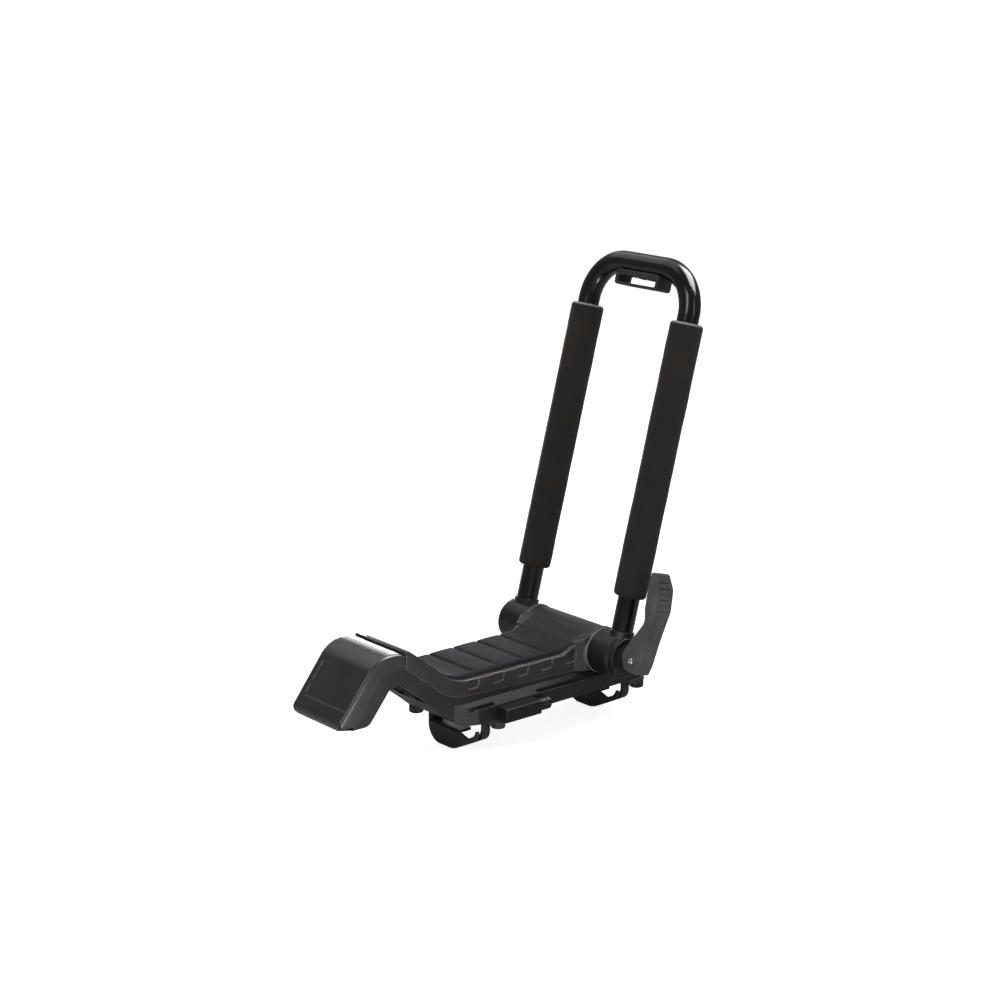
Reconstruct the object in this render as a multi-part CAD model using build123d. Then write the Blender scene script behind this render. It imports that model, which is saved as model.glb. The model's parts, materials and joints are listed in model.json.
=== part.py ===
"""Folding cradle that carries a kayak on a roof bar. Millimetres, +Z up.

X runs along the roof bar with the nose toward -X and the folding upright toward +X.
The cam lever is on the -Y side. The origin is the middle of the bar seat.
"""

import math
import os

from build123d import *

# Side profile of the base, measured from the hinge axis
LIP_X = -375.6
LIP_Z = -20.0
LIP_ROUND = 8.5
LIP_WALL = 4.0
NOSE_TOE_ROUND = 12.0
CREST_FRONT_X = -317.4
CREST_REAR_X = -274.0
CREST_Z = 53.5
CREST_FRONT_ROUND = 38.0
CREST_REAR_ROUND = 30.0
RAMP_ANGLE = 38.0
RAMP_ROUND = 50.0
TRAY_Z = 3.5
FAIRING_X = -52.0
FAIRING_ROUND = 40.0
SEAM_X = -279.0
PANEL_GROOVE = 0.6
PANEL_LINE = 0.8

# Layers of the base
BAND = 19.0
SKIRT_DROP = 6.5
NOSE_DEPTH = 36.5
SKIN = 6.0
WALL = 3.2
RIM_ROUND = 2.5
SEAT_GAP = 0.3

# Widths of the base, from the middle
NOSE_HALF = 43.5
NOSE_TAPER_FROM = 8.0
TRAY_HALF = 50.0
TRAY_FULL_X = -70.0
FRAME_INSET = 0.6
FLARE = 7.0
FLARE_RUN = 12.0

# Hull pad
PAD_MARGIN = 6.0
PAD_SINK = 3.0
PAD_TOP = 8.0
PAD_LIP_PROUD = 1.0
PAD_ROUND = 2.5
PAD_LIP_X = -270.0
PAD_END_X = -37.0
RIB_FIRST_X = -178.7
RIB_PITCH = 35.75
RIB_COUNT = 5
RIB_WIDTH = 3.4
RIB_DEPTH = 2.2

# Clip outlines in the tray walls: a dash, a drop and a curled tail
CLIP_TOP = 2.6
CLIP_DASH = 20.0
CLIP_DROP = 10.5
CLIP_CURL = 4.0
CLIP_TAIL = 14.0
CLIP_LINE = 1.2
CLIP_DEPTH = 1.2

# Lower frame
FRAME_BOTTOM = -48.0
FLANGE_THICK = 17.5
FLANGE_SIDE = 8.0
FLANGE_FRONT_X = -212.0
FLANGE_REAR_X = 73.0
FLANGE_CHAMFER_X = 25.0
FLANGE_CHAMFER_Y = 11.0
FLANGE_CORNER = 14.0
FLANGE_TOP = FRAME_BOTTOM + FLANGE_THICK
FLANGE_HALF = TRAY_HALF + FLANGE_SIDE
UNDER_STEP = 30.0
FLOOR = 6.0
FRAME_WALL = 4.5
NOSE_RIB = 3.0
NOSE_RIB_Y = 15.0
NOSE_CELL_END = 12.0
SLOT_WIDTH = 3.6
SLOT_RIM = 2.0
SLOT_DEPTH = 3.0
SLOT_FRONT = (-198.0, -161.0)
SLOT_REAR = (-98.0, -30.0)
COVE_WIDTH = 5.0
COVE_HEIGHT = 7.0
COVE_ROOT = 6.0
POCKET_MID = (-126.0, -32.0)
POCKET_REAR = (-24.0, 20.0)
POCKET_EDGE = 4.0
POCKET_DEPTH = 4.0

# Hinge
RUN_FIT = 0.05
AXLE_R = 8.95
AXLE_NECK_R = 4.0
SLEEVE_WALL = 3.0
SLEEVE_OUT_R = AXLE_R + RUN_FIT + SLEEVE_WALL
BARREL_R = 26.6
BARREL_SKIN = 3.1
BARREL_CORE_R = BARREL_R - BARREL_SKIN
BARREL_HALF = TRAY_HALF + FLARE
BARREL_LIP = 1.0
BARREL_REAR = BARREL_R + BARREL_LIP
COLLAR_PROUD = 1.0
COLLAR_WIDTH = 3.0
RING_THICK = 1.7
RING_CLEAR = 0.5
RING_EDGE = 1.0
RING_IN_R = SLEEVE_OUT_R + RING_CLEAR
RING_OUT_R = BARREL_CORE_R - RING_EDGE
HUB_UNDER = 0.6
HUB_R = BARREL_R - HUB_UNDER
HUB_INNER = BARREL_HALF + RING_THICK + SEAT_GAP
HUB_STEP = 3.0
HUB_EDGE = 1.2
FAR_HUB_ROUND = 5.0
NUT_FLAT = 17.0
NUT_THICK = 7.0
CAP_R = 13.0
CAP_THICK = 3.0

# Upright
LEAN = 14.76
TUBE_R = 12.7
TUBE_WALL = 2.0
FOOT_GAP = 1.05
TUBE_FOOT = AXLE_R + FOOT_GAP
TUBE_APEX = 444.5
BEND_R = 49.0
SOCKET_WALL = 1.9
SOCKET_PROUD = 2.5
SOCKET_ROOT = 8.0
SOCKET_R = TUBE_R + SOCKET_WALL
SOCKET_TOP = HUB_R + SOCKET_PROUD
SOCKET_FROM = HUB_R - SOCKET_ROOT
LEG_MARGIN = 8.7
LEG_HALF = HUB_INNER + SOCKET_R + LEG_MARGIN
FOAM_THICK = 6.55
FOAM_R = TUBE_R + FOAM_THICK
BARE_LEG = 40.0
BARE_TOP = 7.5
FOAM_FROM = SOCKET_TOP + BARE_LEG
FOAM_TO = TUBE_APEX - BEND_R - BARE_TOP
FOAM_ROUND = 4.0
HUB_OUTER = 7.7
HUB_STEP_LENGTH = 7.5
HUB_SHOULDER = LEG_HALF + HUB_OUTER
NEAR_HUB_END = HUB_SHOULDER + HUB_STEP_LENGTH
FAR_HUB_END = HUB_SHOULDER + NUT_THICK + CAP_THICK

# Strap guide under the top of the tube
GUIDE_HALF = 35.0
GUIDE_DEPTH_HALF = 8.5
GUIDE_RISE = 10.5
GUIDE_DROP = 27.7
GUIDE_TOP = TUBE_APEX - GUIDE_RISE
GUIDE_BOTTOM = TUBE_APEX - GUIDE_DROP
GUIDE_SILL = 3.6
GUIDE_SLOT_HALF = 31.0
GUIDE_SLOT_HEIGHT = 9.0
GUIDE_ROUND = 4.0
GUIDE_SLOT_ROUND = 2.0

# Cam lever, with its side outline as (y, z) from the pin
PIN_R = 3.0
PIN_HEAD_R = 3.6
PIN_HEAD_THICK = 0.9
PIN_HEAD_ROUND = 0.5
EYE_R = 8.5
EYE_HALF = 4.0
FORK_HALF = 4.4
CAM_R = 14.9
CAM_WASHER_THICK = 1.5
CAM_WASHER_R = 15.5
PIN_Y = -(NEAR_HUB_END + CAM_WASHER_THICK + SEAT_GAP + CAM_R)
LEVER_HALF = 9.8
LEVER_NECK_HALF = 10.8
LEVER_GRIP_HALF = 13.0
LEVER_TIP_HALF = 10.5
LEVER_CHEEK_TOP = 6.0
LEVER_NECK = 34.0
LEVER_GRIP_FROM = 68.0
LEVER_GRIP_TO = 92.0
LEVER_TOP = 105.5
CAM_FLAT = 7.0
CAM_ROUND = 8.0
LEVER_THROAT = (5.0, 24.5)
LEVER_WAIST = (-10.6, 48.0)
LEVER_WAIST_ROUND = 14.0
LEVER_PALM = (-7.6, 62.0)
LEVER_TIP_IN = -5.0
LEVER_TIP_OUT = -11.5
LEVER_TIP_ROUND = 2.5
LEVER_SHOULDER = (-16.5, 88.0)
LEVER_GRIP_FOOT = (-18.8, 64.0)
LEVER_BACK = (-19.3, 30.0)
LEVER_HEEL = (-23.5, 0.0)
LEVER_TOE = (-22.4, -13.0)
LEVER_TOE_ROUND = 3.0
LEVER_CHIN = (7.0, -11.5)
LEVER_CHIN_ROUND = 6.0
GRIP_GROOVES = 6
GRIP_FIRST = 64.0
GRIP_PITCH = 6.4
GRIP_GROOVE_R = 0.9
GRIP_GROOVE_HALF = 8.5

# Latch housing and lock on the near flange
LATCH_X = (-161.0, -108.0)
LATCH_WIDE = 17.0
LATCH_HIGH = 16.0
LATCH_EDGE = 1.2
LATCH_Y = FLANGE_HALF + LATCH_WIDE
LOCK_LENGTH = 15.5
LOCK_R = 7.6
LOCK_ROUND = 0.8
LOCK_SPIGOT_R = 3.0
LOCK_END = 5.0
LOCK_GROOVE_R = 1.0
LOCK_GROOVES = (4.65, 9.3)

# Rubber strip on the roof bar; its middle is the origin
BAR_PAD_X = (-190.0, 70.0)
BAR_PAD_HALF = 28.0
BAR_PAD_THICK = 6.0
BAR_PAD_CORNER = 6.0
BAR_SEAT_Z = FRAME_BOTTOM - BAR_PAD_THICK
HINGE_X = -(BAR_PAD_X[0] + BAR_PAD_X[1]) / 2
HINGE_Z = -BAR_SEAT_Z

# Bar clamps: a half moon cup below the bar with a near arm, a far wall and screw ears
BAR_GAP = 15.0
LINER_THICK = 3.0
LINER_INSET = 1.0
LINER_CORNER = 2.0
KNOB_EDGE = 9.0
KNOB_Y = FLANGE_HALF - KNOB_EDGE
KNOB_NEAR = 28.0
KNOB_FAR = -11.0
KNOB_R = 8.5
KNOB_HEIGHT = 9.0
KNOB_END = 2.0
KNOB_ROUND = 2.0
KNOB_FLUTES = 14
KNOB_FLUTE_R = 0.9
SCREW_R = 3.0
INSERT_R = 5.0
INSERT_HEIGHT = 14.0
SCREW_PAST_INSERT = 1.6
EAR_THICK = 4.0
EAR_R = 9.0
JAW_FRONT_X = -179.0
JAW_REAR_X = 37.0
JAW_LENGTH = 19.0
JAW_WALL = 3.2
JAW_DEPTH = 22.5
JAW_TOP = BAR_SEAT_Z - BAR_GAP - LINER_THICK
JAW_BELLY = JAW_TOP - JAW_DEPTH
JAW_FAR_INSET = 8.5
JAW_NEAR_INSET = 3.0
JAW_FAR_Y = KNOB_Y - JAW_FAR_INSET
JAW_NEAR_Y = -(KNOB_Y - JAW_NEAR_INSET)
JAW_BELLY_Y = -4.0
JAW_FAR_ROUND = 20.0
JAW_BELLY_ROUND = 34.0
JAW_ARM_ROUND = 14.0
JAW_ARM_DROP = 0.5
JAW_ARM_ROOT = JAW_TOP - JAW_ARM_DROP
JAW_SADDLE_Y = -16.0
JAW_DIP_Y = -26.0
JAW_DIP = 3.0
JAW_HOOK = 10.0
JAW_WEB_Y = -30.0
JAW_ARM_FROM = 8.0
JAW_RIBS = (8.0, 26.0)

# How far cutting shapes run past the part, and how near an edge counts as lying on a face
CUT_REACH = 60.0
PROBE = 1.0


def side(*points):
    """A face in the XZ plane from (x, z) points."""
    return make_face(Polyline(*points, close=True))


def tube_between(radius, y_from, y_to):
    """A cylinder along Y."""
    start = Plane((0, y_from, 0), x_dir=(1, 0, 0), z_dir=(0, 1, 0))
    return extrude(start * Circle(radius), y_to - y_from)


def post(x, y, radius, z_from, z_to):
    """A cylinder along Z."""
    return extrude(Plane((x, y, z_from)) * Circle(radius), z_to - z_from)


def block(x_range, y_range, z_range):
    """A box from its limits."""
    size = [b - a for a, b in (x_range, y_range, z_range)]
    middle = [(a + b) / 2 for a, b in (x_range, y_range, z_range)]
    return Pos(*middle) * Box(*size)


def through(sketch, half):
    """An XZ face made into a solid that is symmetric about Y."""
    return extrude(Plane.XZ * sketch, half, both=True)


def mirrored(shape):
    """The same shape on the other side of the XZ plane."""
    return mirror(shape, about=Plane.XZ)


def rounded(sketch, point, radius):
    """The sketch with the corner nearest to a point rounded."""
    corner = sketch.vertices().sort_by_distance((point[0], point[1], 0))[0]
    return fillet(corner, radius)


# Side profile shared by cap, cover, frame and pad
deep = FRAME_BOTTOM - CUT_REACH
high = CREST_Z + CUT_REACH
ahead = LIP_X - CUT_REACH
ramp_slope = math.tan(math.radians(RAMP_ANGLE))
ramp_foot_x = CREST_REAR_X + (CREST_Z - TRAY_Z) / ramp_slope
front_slope = (CREST_Z - LIP_Z) / (CREST_FRONT_X - LIP_X)
front_deep_x = LIP_X + (deep - LIP_Z) / front_slope
ramp_deep_x = CREST_REAR_X + (CREST_Z - deep) / ramp_slope
toe_x = LIP_X + NOSE_DEPTH / math.sin(math.atan(front_slope))
crest_front = (CREST_FRONT_X, CREST_Z)
crest_rear = (CREST_REAR_X, CREST_Z)


def contour(lift, tray):
    """Nose, ramp, tray and fairing over a straight underside, for a lifted crest and a tray level."""
    foot = (CREST_REAR_X + (CREST_Z + lift - tray) / ramp_slope, tray)
    front = (CREST_FRONT_X, CREST_Z + lift)
    rear = (CREST_REAR_X, CREST_Z + lift)
    start = (FAIRING_X, tray)
    touch = math.atan2(tray, FAIRING_X) - math.acos(BARREL_R / math.hypot(tray, FAIRING_X))
    tangent = (BARREL_R * math.cos(touch), BARREL_R * math.sin(touch))
    face = side((front_deep_x, deep), front, rear, foot, start, tangent, (0, 0), (0, deep))
    face = rounded(face, front, CREST_FRONT_ROUND)
    face = rounded(face, rear, CREST_REAR_ROUND)
    face = rounded(face, foot, RAMP_ROUND)
    return rounded(face, start, FAIRING_ROUND)


profile = contour(0.0, TRAY_Z)
pad_profile = contour(PAD_LIP_PROUD, PAD_TOP)

arch = side((front_deep_x, deep), crest_front, crest_rear, (ramp_deep_x, deep))
arch = rounded(arch, crest_front, CREST_FRONT_ROUND)
arch = rounded(arch, crest_rear, CREST_REAR_ROUND)
arch = offset(arch, -NOSE_DEPTH, kind=Kind.INTERSECTION)

flat_from = ramp_foot_x + RAMP_ROUND * math.tan(math.radians(RAMP_ANGLE / 2))
nose_side = side((ahead, deep), (ahead, high), (flat_from, high), (flat_from, deep))
lower = offset(profile, -BAND, kind=Kind.INTERSECTION) & nose_side
lower += side((flat_from, TRAY_Z - BAND), (BARREL_REAR, TRAY_Z - BAND - SKIRT_DROP), (BARREL_REAR, deep),
              (flat_from, deep))
above_lip = side((ahead, LIP_Z), (ahead, high), (BARREL_REAR, high), (BARREL_REAR, FRAME_BOTTOM),
                 (ramp_foot_x - UNDER_STEP, FRAME_BOTTOM), (ramp_foot_x - UNDER_STEP, LIP_Z))


def plan(inset, flare=0.0):
    """The tapered outline of the base seen from above, as a solid."""
    nose, tray = NOSE_HALF - inset, TRAY_HALF - inset
    hinge = tray + flare
    near = [(LIP_X - NOSE_TAPER_FROM, -nose), (TRAY_FULL_X, -tray), (PAD_END_X, -tray),
            (PAD_END_X + FLARE_RUN, -hinge), (BARREL_REAR, -hinge)]
    outline = make_face(Polyline(*near, *[(x, -y) for x, y in reversed(near)], close=True))
    return extrude(Plane.XY.offset(deep) * outline, high - deep)


def half_at(x):
    """Half width of the base at a place along it."""
    share = (x - LIP_X + NOSE_TAPER_FROM) / (TRAY_FULL_X - LIP_X + NOSE_TAPER_FROM)
    return NOSE_HALF + (TRAY_HALF - NOSE_HALF) * min(1.0, share)


def lies_on(face, core, edge):
    """Whether an edge lies on the outline of a face in the XZ plane, given the face shrunk by PROBE."""
    middle = Vertex(edge.center().X, edge.center().Z, 0)
    return face.distance_to(middle) < PROBE / 100 and core.distance_to(middle) > PROBE * 0.9


def make_pad():
    """Pad over ramp and tray, before its edges are rounded."""
    inner = offset(profile, -PAD_SINK, kind=Kind.INTERSECTION)
    low = TRAY_Z - PAD_SINK - PROBE
    span = side((PAD_LIP_X, low), (PAD_LIP_X, high), (PAD_END_X, high), (PAD_END_X, low))
    return through((pad_profile - inner) & span, TRAY_HALF) & plan(PAD_MARGIN)


def dress_pad(blank):
    """Round the long top edges and the upper lip, and cut the ribs."""
    core = offset(pad_profile, -PROBE)
    rim = blank.edges().filter_by(lambda e: lies_on(pad_profile, core, e) and abs(e.center().Y) > PROBE)
    pad = fillet(rim, PAD_ROUND)
    for i in range(RIB_COUNT - 1):
        x = RIB_FIRST_X + i * RIB_PITCH
        notch = side((x - RIB_WIDTH / 2, PAD_TOP), (x + RIB_WIDTH / 2, PAD_TOP), (x, PAD_TOP - RIB_DEPTH))
        pad -= through(notch, TRAY_HALF)
    return pad


def clip_outlines():
    """Narrow grooves of the pad clips along both tray walls."""
    cuts = []
    low = CLIP_TOP - CLIP_DROP
    for i in range(RIB_COUNT):
        x = RIB_FIRST_X + i * RIB_PITCH
        path = Polyline((x + CLIP_DASH, CLIP_TOP), (x, CLIP_TOP), (x, low), (x - CLIP_TAIL, low))
        curl = path.vertices().sort_by_distance((x, low, 0))[0]
        path = fillet(curl, CLIP_CURL)
        groove = make_face(offset(path, CLIP_LINE / 2, side=Side.BOTH).wires())
        skin = Plane.XZ.offset(half_at(x) - CLIP_DEPTH)
        cut = extrude(skin * groove, CLIP_DEPTH + PROBE)
        cuts += [cut, mirrored(cut)]
    return cuts


def make_cover(pad):
    """Upper moulding over the whole base, before it is split at the seam."""
    hinge_end = side((PAD_END_X, deep), (PAD_END_X, high), (BARREL_R, high), (BARREL_R, deep))
    under = Pos(0, SEAT_GAP) * lower
    over = (profile + (pad_profile & hinge_end) + Circle(BARREL_R)) - under
    over = rounded(over & above_lip, (LIP_X, LIP_Z), LIP_ROUND)
    cover = through(over, BARREL_HALF) & plan(0, FLARE)
    core = offset(profile, -PROBE)
    rim = cover.edges().filter_by(
        lambda e: abs(abs(e.center().Y) - half_at(e.center().X)) < PROBE / 2
        and e.center().X < FAIRING_X - PROBE
        and lies_on(profile, core, e)
    )
    cover = fillet(rim, RIM_ROUND)
    collar = (Circle(BARREL_R + COLLAR_PROUD) - under) & above_lip
    cover += through(collar, BARREL_HALF) - through(collar, BARREL_HALF - COLLAR_WIDTH)
    hollow = offset(profile, -SKIN, kind=Kind.INTERSECTION)
    lip_inside = LIP_Z + LIP_WALL
    hollow &= side((ahead, lip_inside), (ahead, high), (-BARREL_R, high), (-BARREL_R, deep),
                   (flat_from, deep), (flat_from, lip_inside))
    cover -= through(hollow, TRAY_HALF) & plan(WALL)
    bore = BARREL_CORE_R + SEAT_GAP
    cover -= through(Circle(bore), BARREL_HALF + PROBE)
    web = TRAY_HALF - WALL
    cover -= block((-BARREL_REAR, bore), (-web, web), (deep, TRAY_Z))
    cover -= pad
    for cut in clip_outlines():
        cover -= cut
    return cover


def cut_panel(cap):
    """Groove that frames the flat front of the nose on three sides."""
    length = math.hypot(CREST_FRONT_X - LIP_X, CREST_Z - LIP_Z)
    up = ((CREST_FRONT_X - LIP_X) / length, 0, (CREST_Z - LIP_Z) / length)
    face = Plane((LIP_X, 0, LIP_Z), x_dir=up, z_dir=(-up[2], 0, up[0]))
    tall, wide = length * 0.62, NOSE_HALF * 1.66
    ring = Rectangle(tall, wide) - Pos(PANEL_LINE, 0) * Rectangle(tall, wide - 2 * PANEL_LINE)
    return cap - extrude(face * Pos(length * 0.52, 0) * ring, PANEL_GROOVE, both=True)


def knob_places(jaw_x):
    """Near and far knob positions of one clamp."""
    return (jaw_x + KNOB_NEAR, -KNOB_Y), (jaw_x + KNOB_FAR, KNOB_Y)


all_knobs = knob_places(JAW_FRONT_X) + knob_places(JAW_REAR_X)
insert_top = FRAME_BOTTOM + INSERT_HEIGHT
screw_top = insert_top + SCREW_PAST_INSERT


def flange_outline():
    """Outline of the flanges seen from above."""
    front = FLANGE_FRONT_X + FLANGE_CHAMFER_X
    tip = FLANGE_HALF - FLANGE_CHAMFER_Y
    near = [(FLANGE_FRONT_X, -tip), (front, -FLANGE_HALF), (FLANGE_REAR_X, -FLANGE_HALF)]
    outline = make_face(Polyline(*near, *[(x, -y) for x, y in reversed(near)], close=True))
    outline = rounded(outline, (FLANGE_REAR_X, FLANGE_HALF), FLANGE_CORNER)
    return rounded(outline, (FLANGE_REAR_X, -FLANGE_HALF), FLANGE_CORNER)


def make_cove(outline):
    """Slanted fillet between the near flange and the tub."""
    wall = TRAY_HALF - FRAME_INSET
    root, top = wall - COVE_ROOT, FLANGE_TOP + COVE_HEIGHT
    toe = -wall - COVE_WIDTH
    section = make_face(
        Polyline((-root, FLANGE_TOP), (toe, FLANGE_TOP), (-wall, top), (-root, top), close=True)
    )
    start = Plane((FLANGE_FRONT_X, 0, 0), x_dir=(0, 1, 0), z_dir=(1, 0, 0))
    cove = extrude(start * section, BARREL_R - FLANGE_FRONT_X)
    return cove & extrude(Plane.XY.offset(deep) * outline, high - deep)


def make_frame():
    """Lower moulding with nose ribs, tub, flanges and hinge barrel."""
    section = rounded((lower & above_lip) - arch, (toe_x, LIP_Z), NOSE_TOE_ROUND)
    frame = through(section, TRAY_HALF) & plan(FRAME_INSET)
    outline = flange_outline()
    flange = extrude(Plane.XY.offset(FRAME_BOTTOM) * outline, FLANGE_THICK)
    frame += flange - through(arch, FLANGE_HALF + PROBE)
    cove = make_cove(outline)
    frame += cove
    frame += mirrored(cove)
    frame += tube_between(BARREL_CORE_R, -BARREL_HALF, BARREL_HALF)
    web = TRAY_HALF - WALL - SEAT_GAP
    frame += block((-BARREL_CORE_R, BARREL_CORE_R), (-web, web), (FRAME_BOTTOM, TRAY_Z))
    lane = offset(profile, -BAND - FRAME_WALL, kind=Kind.INTERSECTION)
    cell_end, cell_low = ramp_foot_x - NOSE_CELL_END, LIP_Z + LIP_WALL
    lane &= side((LIP_X, cell_low), (LIP_X, high), (cell_end, high), (cell_end, cell_low))
    inside = plan(FRAME_WALL + FRAME_INSET)
    frame -= through(lane, NOSE_RIB_Y - NOSE_RIB / 2)
    frame -= (through(lane, TRAY_HALF) & inside) - through(lane, NOSE_RIB_Y + NOSE_RIB / 2)
    tub = block((flat_from, -BARREL_R - FRAME_WALL), (-TRAY_HALF, TRAY_HALF), (FRAME_BOTTOM + FLOOR, 0))
    frame -= tub & inside
    slot_y = FLANGE_HALF - SLOT_RIM
    slot_z = (FLANGE_TOP - SLOT_DEPTH, FLANGE_TOP + COVE_HEIGHT)
    for x_range in (SLOT_FRONT, SLOT_REAR):
        slot = block(x_range, (slot_y - SLOT_WIDTH, slot_y), slot_z)
        frame -= slot
        frame -= mirrored(slot)
    pocket_y = (BAR_PAD_HALF + BAR_PAD_CORNER, FLANGE_HALF - POCKET_EDGE)
    for x_range in (POCKET_MID, POCKET_REAR):
        pocket = block(x_range, pocket_y, (FRAME_BOTTOM - PROBE, FRAME_BOTTOM + POCKET_DEPTH))
        frame -= pocket
        frame -= mirrored(pocket)
    frame -= through(Circle(SLEEVE_OUT_R), BARREL_HALF + PROBE)
    for x, y in all_knobs:
        frame -= post(x, y, INSERT_R, FRAME_BOTTOM - PROBE, insert_top)
        frame -= post(x, y, SCREW_R + SEAT_GAP, insert_top - PROBE, screw_top + SEAT_GAP)
    return frame


def make_inserts():
    """Threaded inserts for the clamp screws."""
    rings = []
    for x, y in all_knobs:
        ring = post(x, y, INSERT_R, FRAME_BOTTOM, insert_top)
        ring -= post(x, y, SCREW_R + RUN_FIT, FRAME_BOTTOM, insert_top)
        rings.append(ring.solid())
    return Compound(rings)


def make_bar_pad():
    """Rubber strip between frame and roof bar."""
    strip = block(BAR_PAD_X, (-BAR_PAD_HALF, BAR_PAD_HALF), (BAR_SEAT_Z, FRAME_BOTTOM))
    return fillet(strip.edges().filter_by(Axis.Z), BAR_PAD_CORNER)


def ring_on(sign):
    """Friction ring on one barrel end."""
    low, high_end = sorted((sign * BARREL_HALF, sign * (BARREL_HALF + RING_THICK)))
    return tube_between(RING_OUT_R, low, high_end) - tube_between(RING_IN_R, low, high_end)


def lock_plane():
    """Plane across the lock axis on the end of the housing."""
    middle = (LATCH_X[1], -FLANGE_HALF - LATCH_WIDE / 2, FRAME_BOTTOM + LATCH_HIGH / 2)
    return Plane(middle, x_dir=(0, 1, 0), z_dir=(1, 0, 0))


def latch_box():
    """Housing on the near flange with a spigot for the lock."""
    box = block(LATCH_X, (-LATCH_Y, -FLANGE_HALF), (FRAME_BOTTOM, FRAME_BOTTOM + LATCH_HIGH))
    outer = box.edges().filter_by(lambda e: e.center().Y < -FLANGE_HALF - PROBE)
    box = fillet(outer, LATCH_EDGE)
    return box + extrude(lock_plane() * Circle(LOCK_SPIGOT_R), LOCK_LENGTH - LOCK_END)


def lock_body():
    """Ringed round lock on the spigot."""
    start = lock_plane().offset(SEAT_GAP)
    body = extrude(start * Circle(LOCK_R), LOCK_LENGTH)
    body = fillet(body.edges(), LOCK_ROUND)
    for place in LOCK_GROOVES:
        body -= start.offset(place) * Torus(LOCK_R, LOCK_GROOVE_R)
    return body - extrude(start * Circle(LOCK_SPIGOT_R + RUN_FIT), LOCK_LENGTH - LOCK_END + SEAT_GAP)


def make_tube():
    """U shaped tube, standing straight up."""
    path = Polyline((0, -LEG_HALF, TUBE_FOOT), (0, -LEG_HALF, TUBE_APEX), (0, LEG_HALF, TUBE_APEX),
                    (0, LEG_HALF, TUBE_FOOT))
    path = fillet(path.vertices().sort_by(Axis.Z)[2:], BEND_R)
    start = Plane((0, -LEG_HALF, TUBE_FOOT))
    return sweep(start * (Circle(TUBE_R) - Circle(TUBE_R - TUBE_WALL)), path=path)


def foam(sign):
    """Foam sleeve on one leg."""
    body = post(0, sign * LEG_HALF, FOAM_R, FOAM_FROM, FOAM_TO)
    body = fillet(body.edges().filter_by(GeomType.CIRCLE), FOAM_ROUND)
    return body - post(0, sign * LEG_HALF, TUBE_R, FOAM_FROM, FOAM_TO)


def make_near_hub():
    """Hub on the lever side."""
    hub = tube_between(HUB_R, -HUB_SHOULDER, -HUB_INNER)
    hub += tube_between(HUB_R - HUB_STEP, -NEAR_HUB_END, -HUB_SHOULDER)
    hub = fillet(hub.edges().filter_by(GeomType.CIRCLE), HUB_EDGE)
    hub += post(0, -LEG_HALF, SOCKET_R, SOCKET_FROM, SOCKET_TOP)
    hub -= post(0, -LEG_HALF, TUBE_R, TUBE_FOOT, SOCKET_TOP + PROBE)
    hub -= tube_between(AXLE_R, -HUB_SHOULDER, -HUB_INNER)
    return hub - tube_between(AXLE_NECK_R, -NEAR_HUB_END, -HUB_SHOULDER)


def make_far_hub():
    """Hub on the far side with a recess for the axle nut."""
    hub = tube_between(HUB_R, HUB_INNER, FAR_HUB_END)
    ends = hub.edges().filter_by(GeomType.CIRCLE).sort_by(Axis.Y)
    hub = fillet(ends[-1], FAR_HUB_ROUND)
    hub += post(0, LEG_HALF, SOCKET_R, SOCKET_FROM, SOCKET_TOP)
    hub -= post(0, LEG_HALF, TUBE_R, TUBE_FOOT, SOCKET_TOP + PROBE)
    hub -= tube_between(AXLE_R, HUB_INNER, HUB_SHOULDER)
    return hub - tube_between(CAP_R, HUB_SHOULDER, FAR_HUB_END + PROBE)


def pin_plane():
    """Plane across the lever pin."""
    return Plane((0, PIN_Y, 0), x_dir=(0, 1, 0), z_dir=(1, 0, 0))


def make_axle():
    """Axle with an eye for the lever pin and a threaded far end."""
    axle = tube_between(AXLE_R, -HUB_SHOULDER, HUB_SHOULDER)
    axle += tube_between(AXLE_NECK_R, PIN_Y, -HUB_SHOULDER)
    axle += tube_between(AXLE_NECK_R, HUB_SHOULDER, HUB_SHOULDER + NUT_THICK)
    axle += extrude(pin_plane() * Circle(EYE_R), EYE_HALF, both=True)
    return axle - extrude(pin_plane() * Circle(PIN_R + RUN_FIT), EYE_HALF + PROBE, both=True)


def make_nut():
    """Hexagonal nut on the far end of the axle."""
    start = Plane((0, HUB_SHOULDER, 0), x_dir=(1, 0, 0), z_dir=(0, 1, 0))
    nut = extrude(start * RegularPolygon(NUT_FLAT / 2, 6, major_radius=False), NUT_THICK)
    return nut - tube_between(AXLE_NECK_R, HUB_SHOULDER, HUB_SHOULDER + NUT_THICK)


def make_washer():
    """Thrust washer between the near hub and the cam."""
    outer = tube_between(CAM_WASHER_R, -NEAR_HUB_END - CAM_WASHER_THICK, -NEAR_HUB_END)
    return outer - tube_between(AXLE_NECK_R, -NEAR_HUB_END - CAM_WASHER_THICK, -NEAR_HUB_END)


def make_guide():
    """Strap loop under the top of the tube."""
    guide = block((-GUIDE_DEPTH_HALF, GUIDE_DEPTH_HALF), (-GUIDE_HALF, GUIDE_HALF), (GUIDE_BOTTOM, GUIDE_TOP))
    corners = guide.edges().filter_by(Axis.X).sort_by(Axis.Z)[:2]
    guide = fillet(corners, GUIDE_ROUND)
    depth = GUIDE_DEPTH_HALF + PROBE
    sill = GUIDE_BOTTOM + GUIDE_SILL
    slot = block((-depth, depth), (-GUIDE_SLOT_HALF, GUIDE_SLOT_HALF), (sill, sill + GUIDE_SLOT_HEIGHT))
    slot = fillet(slot.edges().filter_by(Axis.X), GUIDE_SLOT_ROUND)
    seat = Pos(0, 0, TUBE_APEX) * tube_between(TUBE_R, -GUIDE_HALF - PROBE, GUIDE_HALF + PROBE)
    return guide - slot - seat


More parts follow.
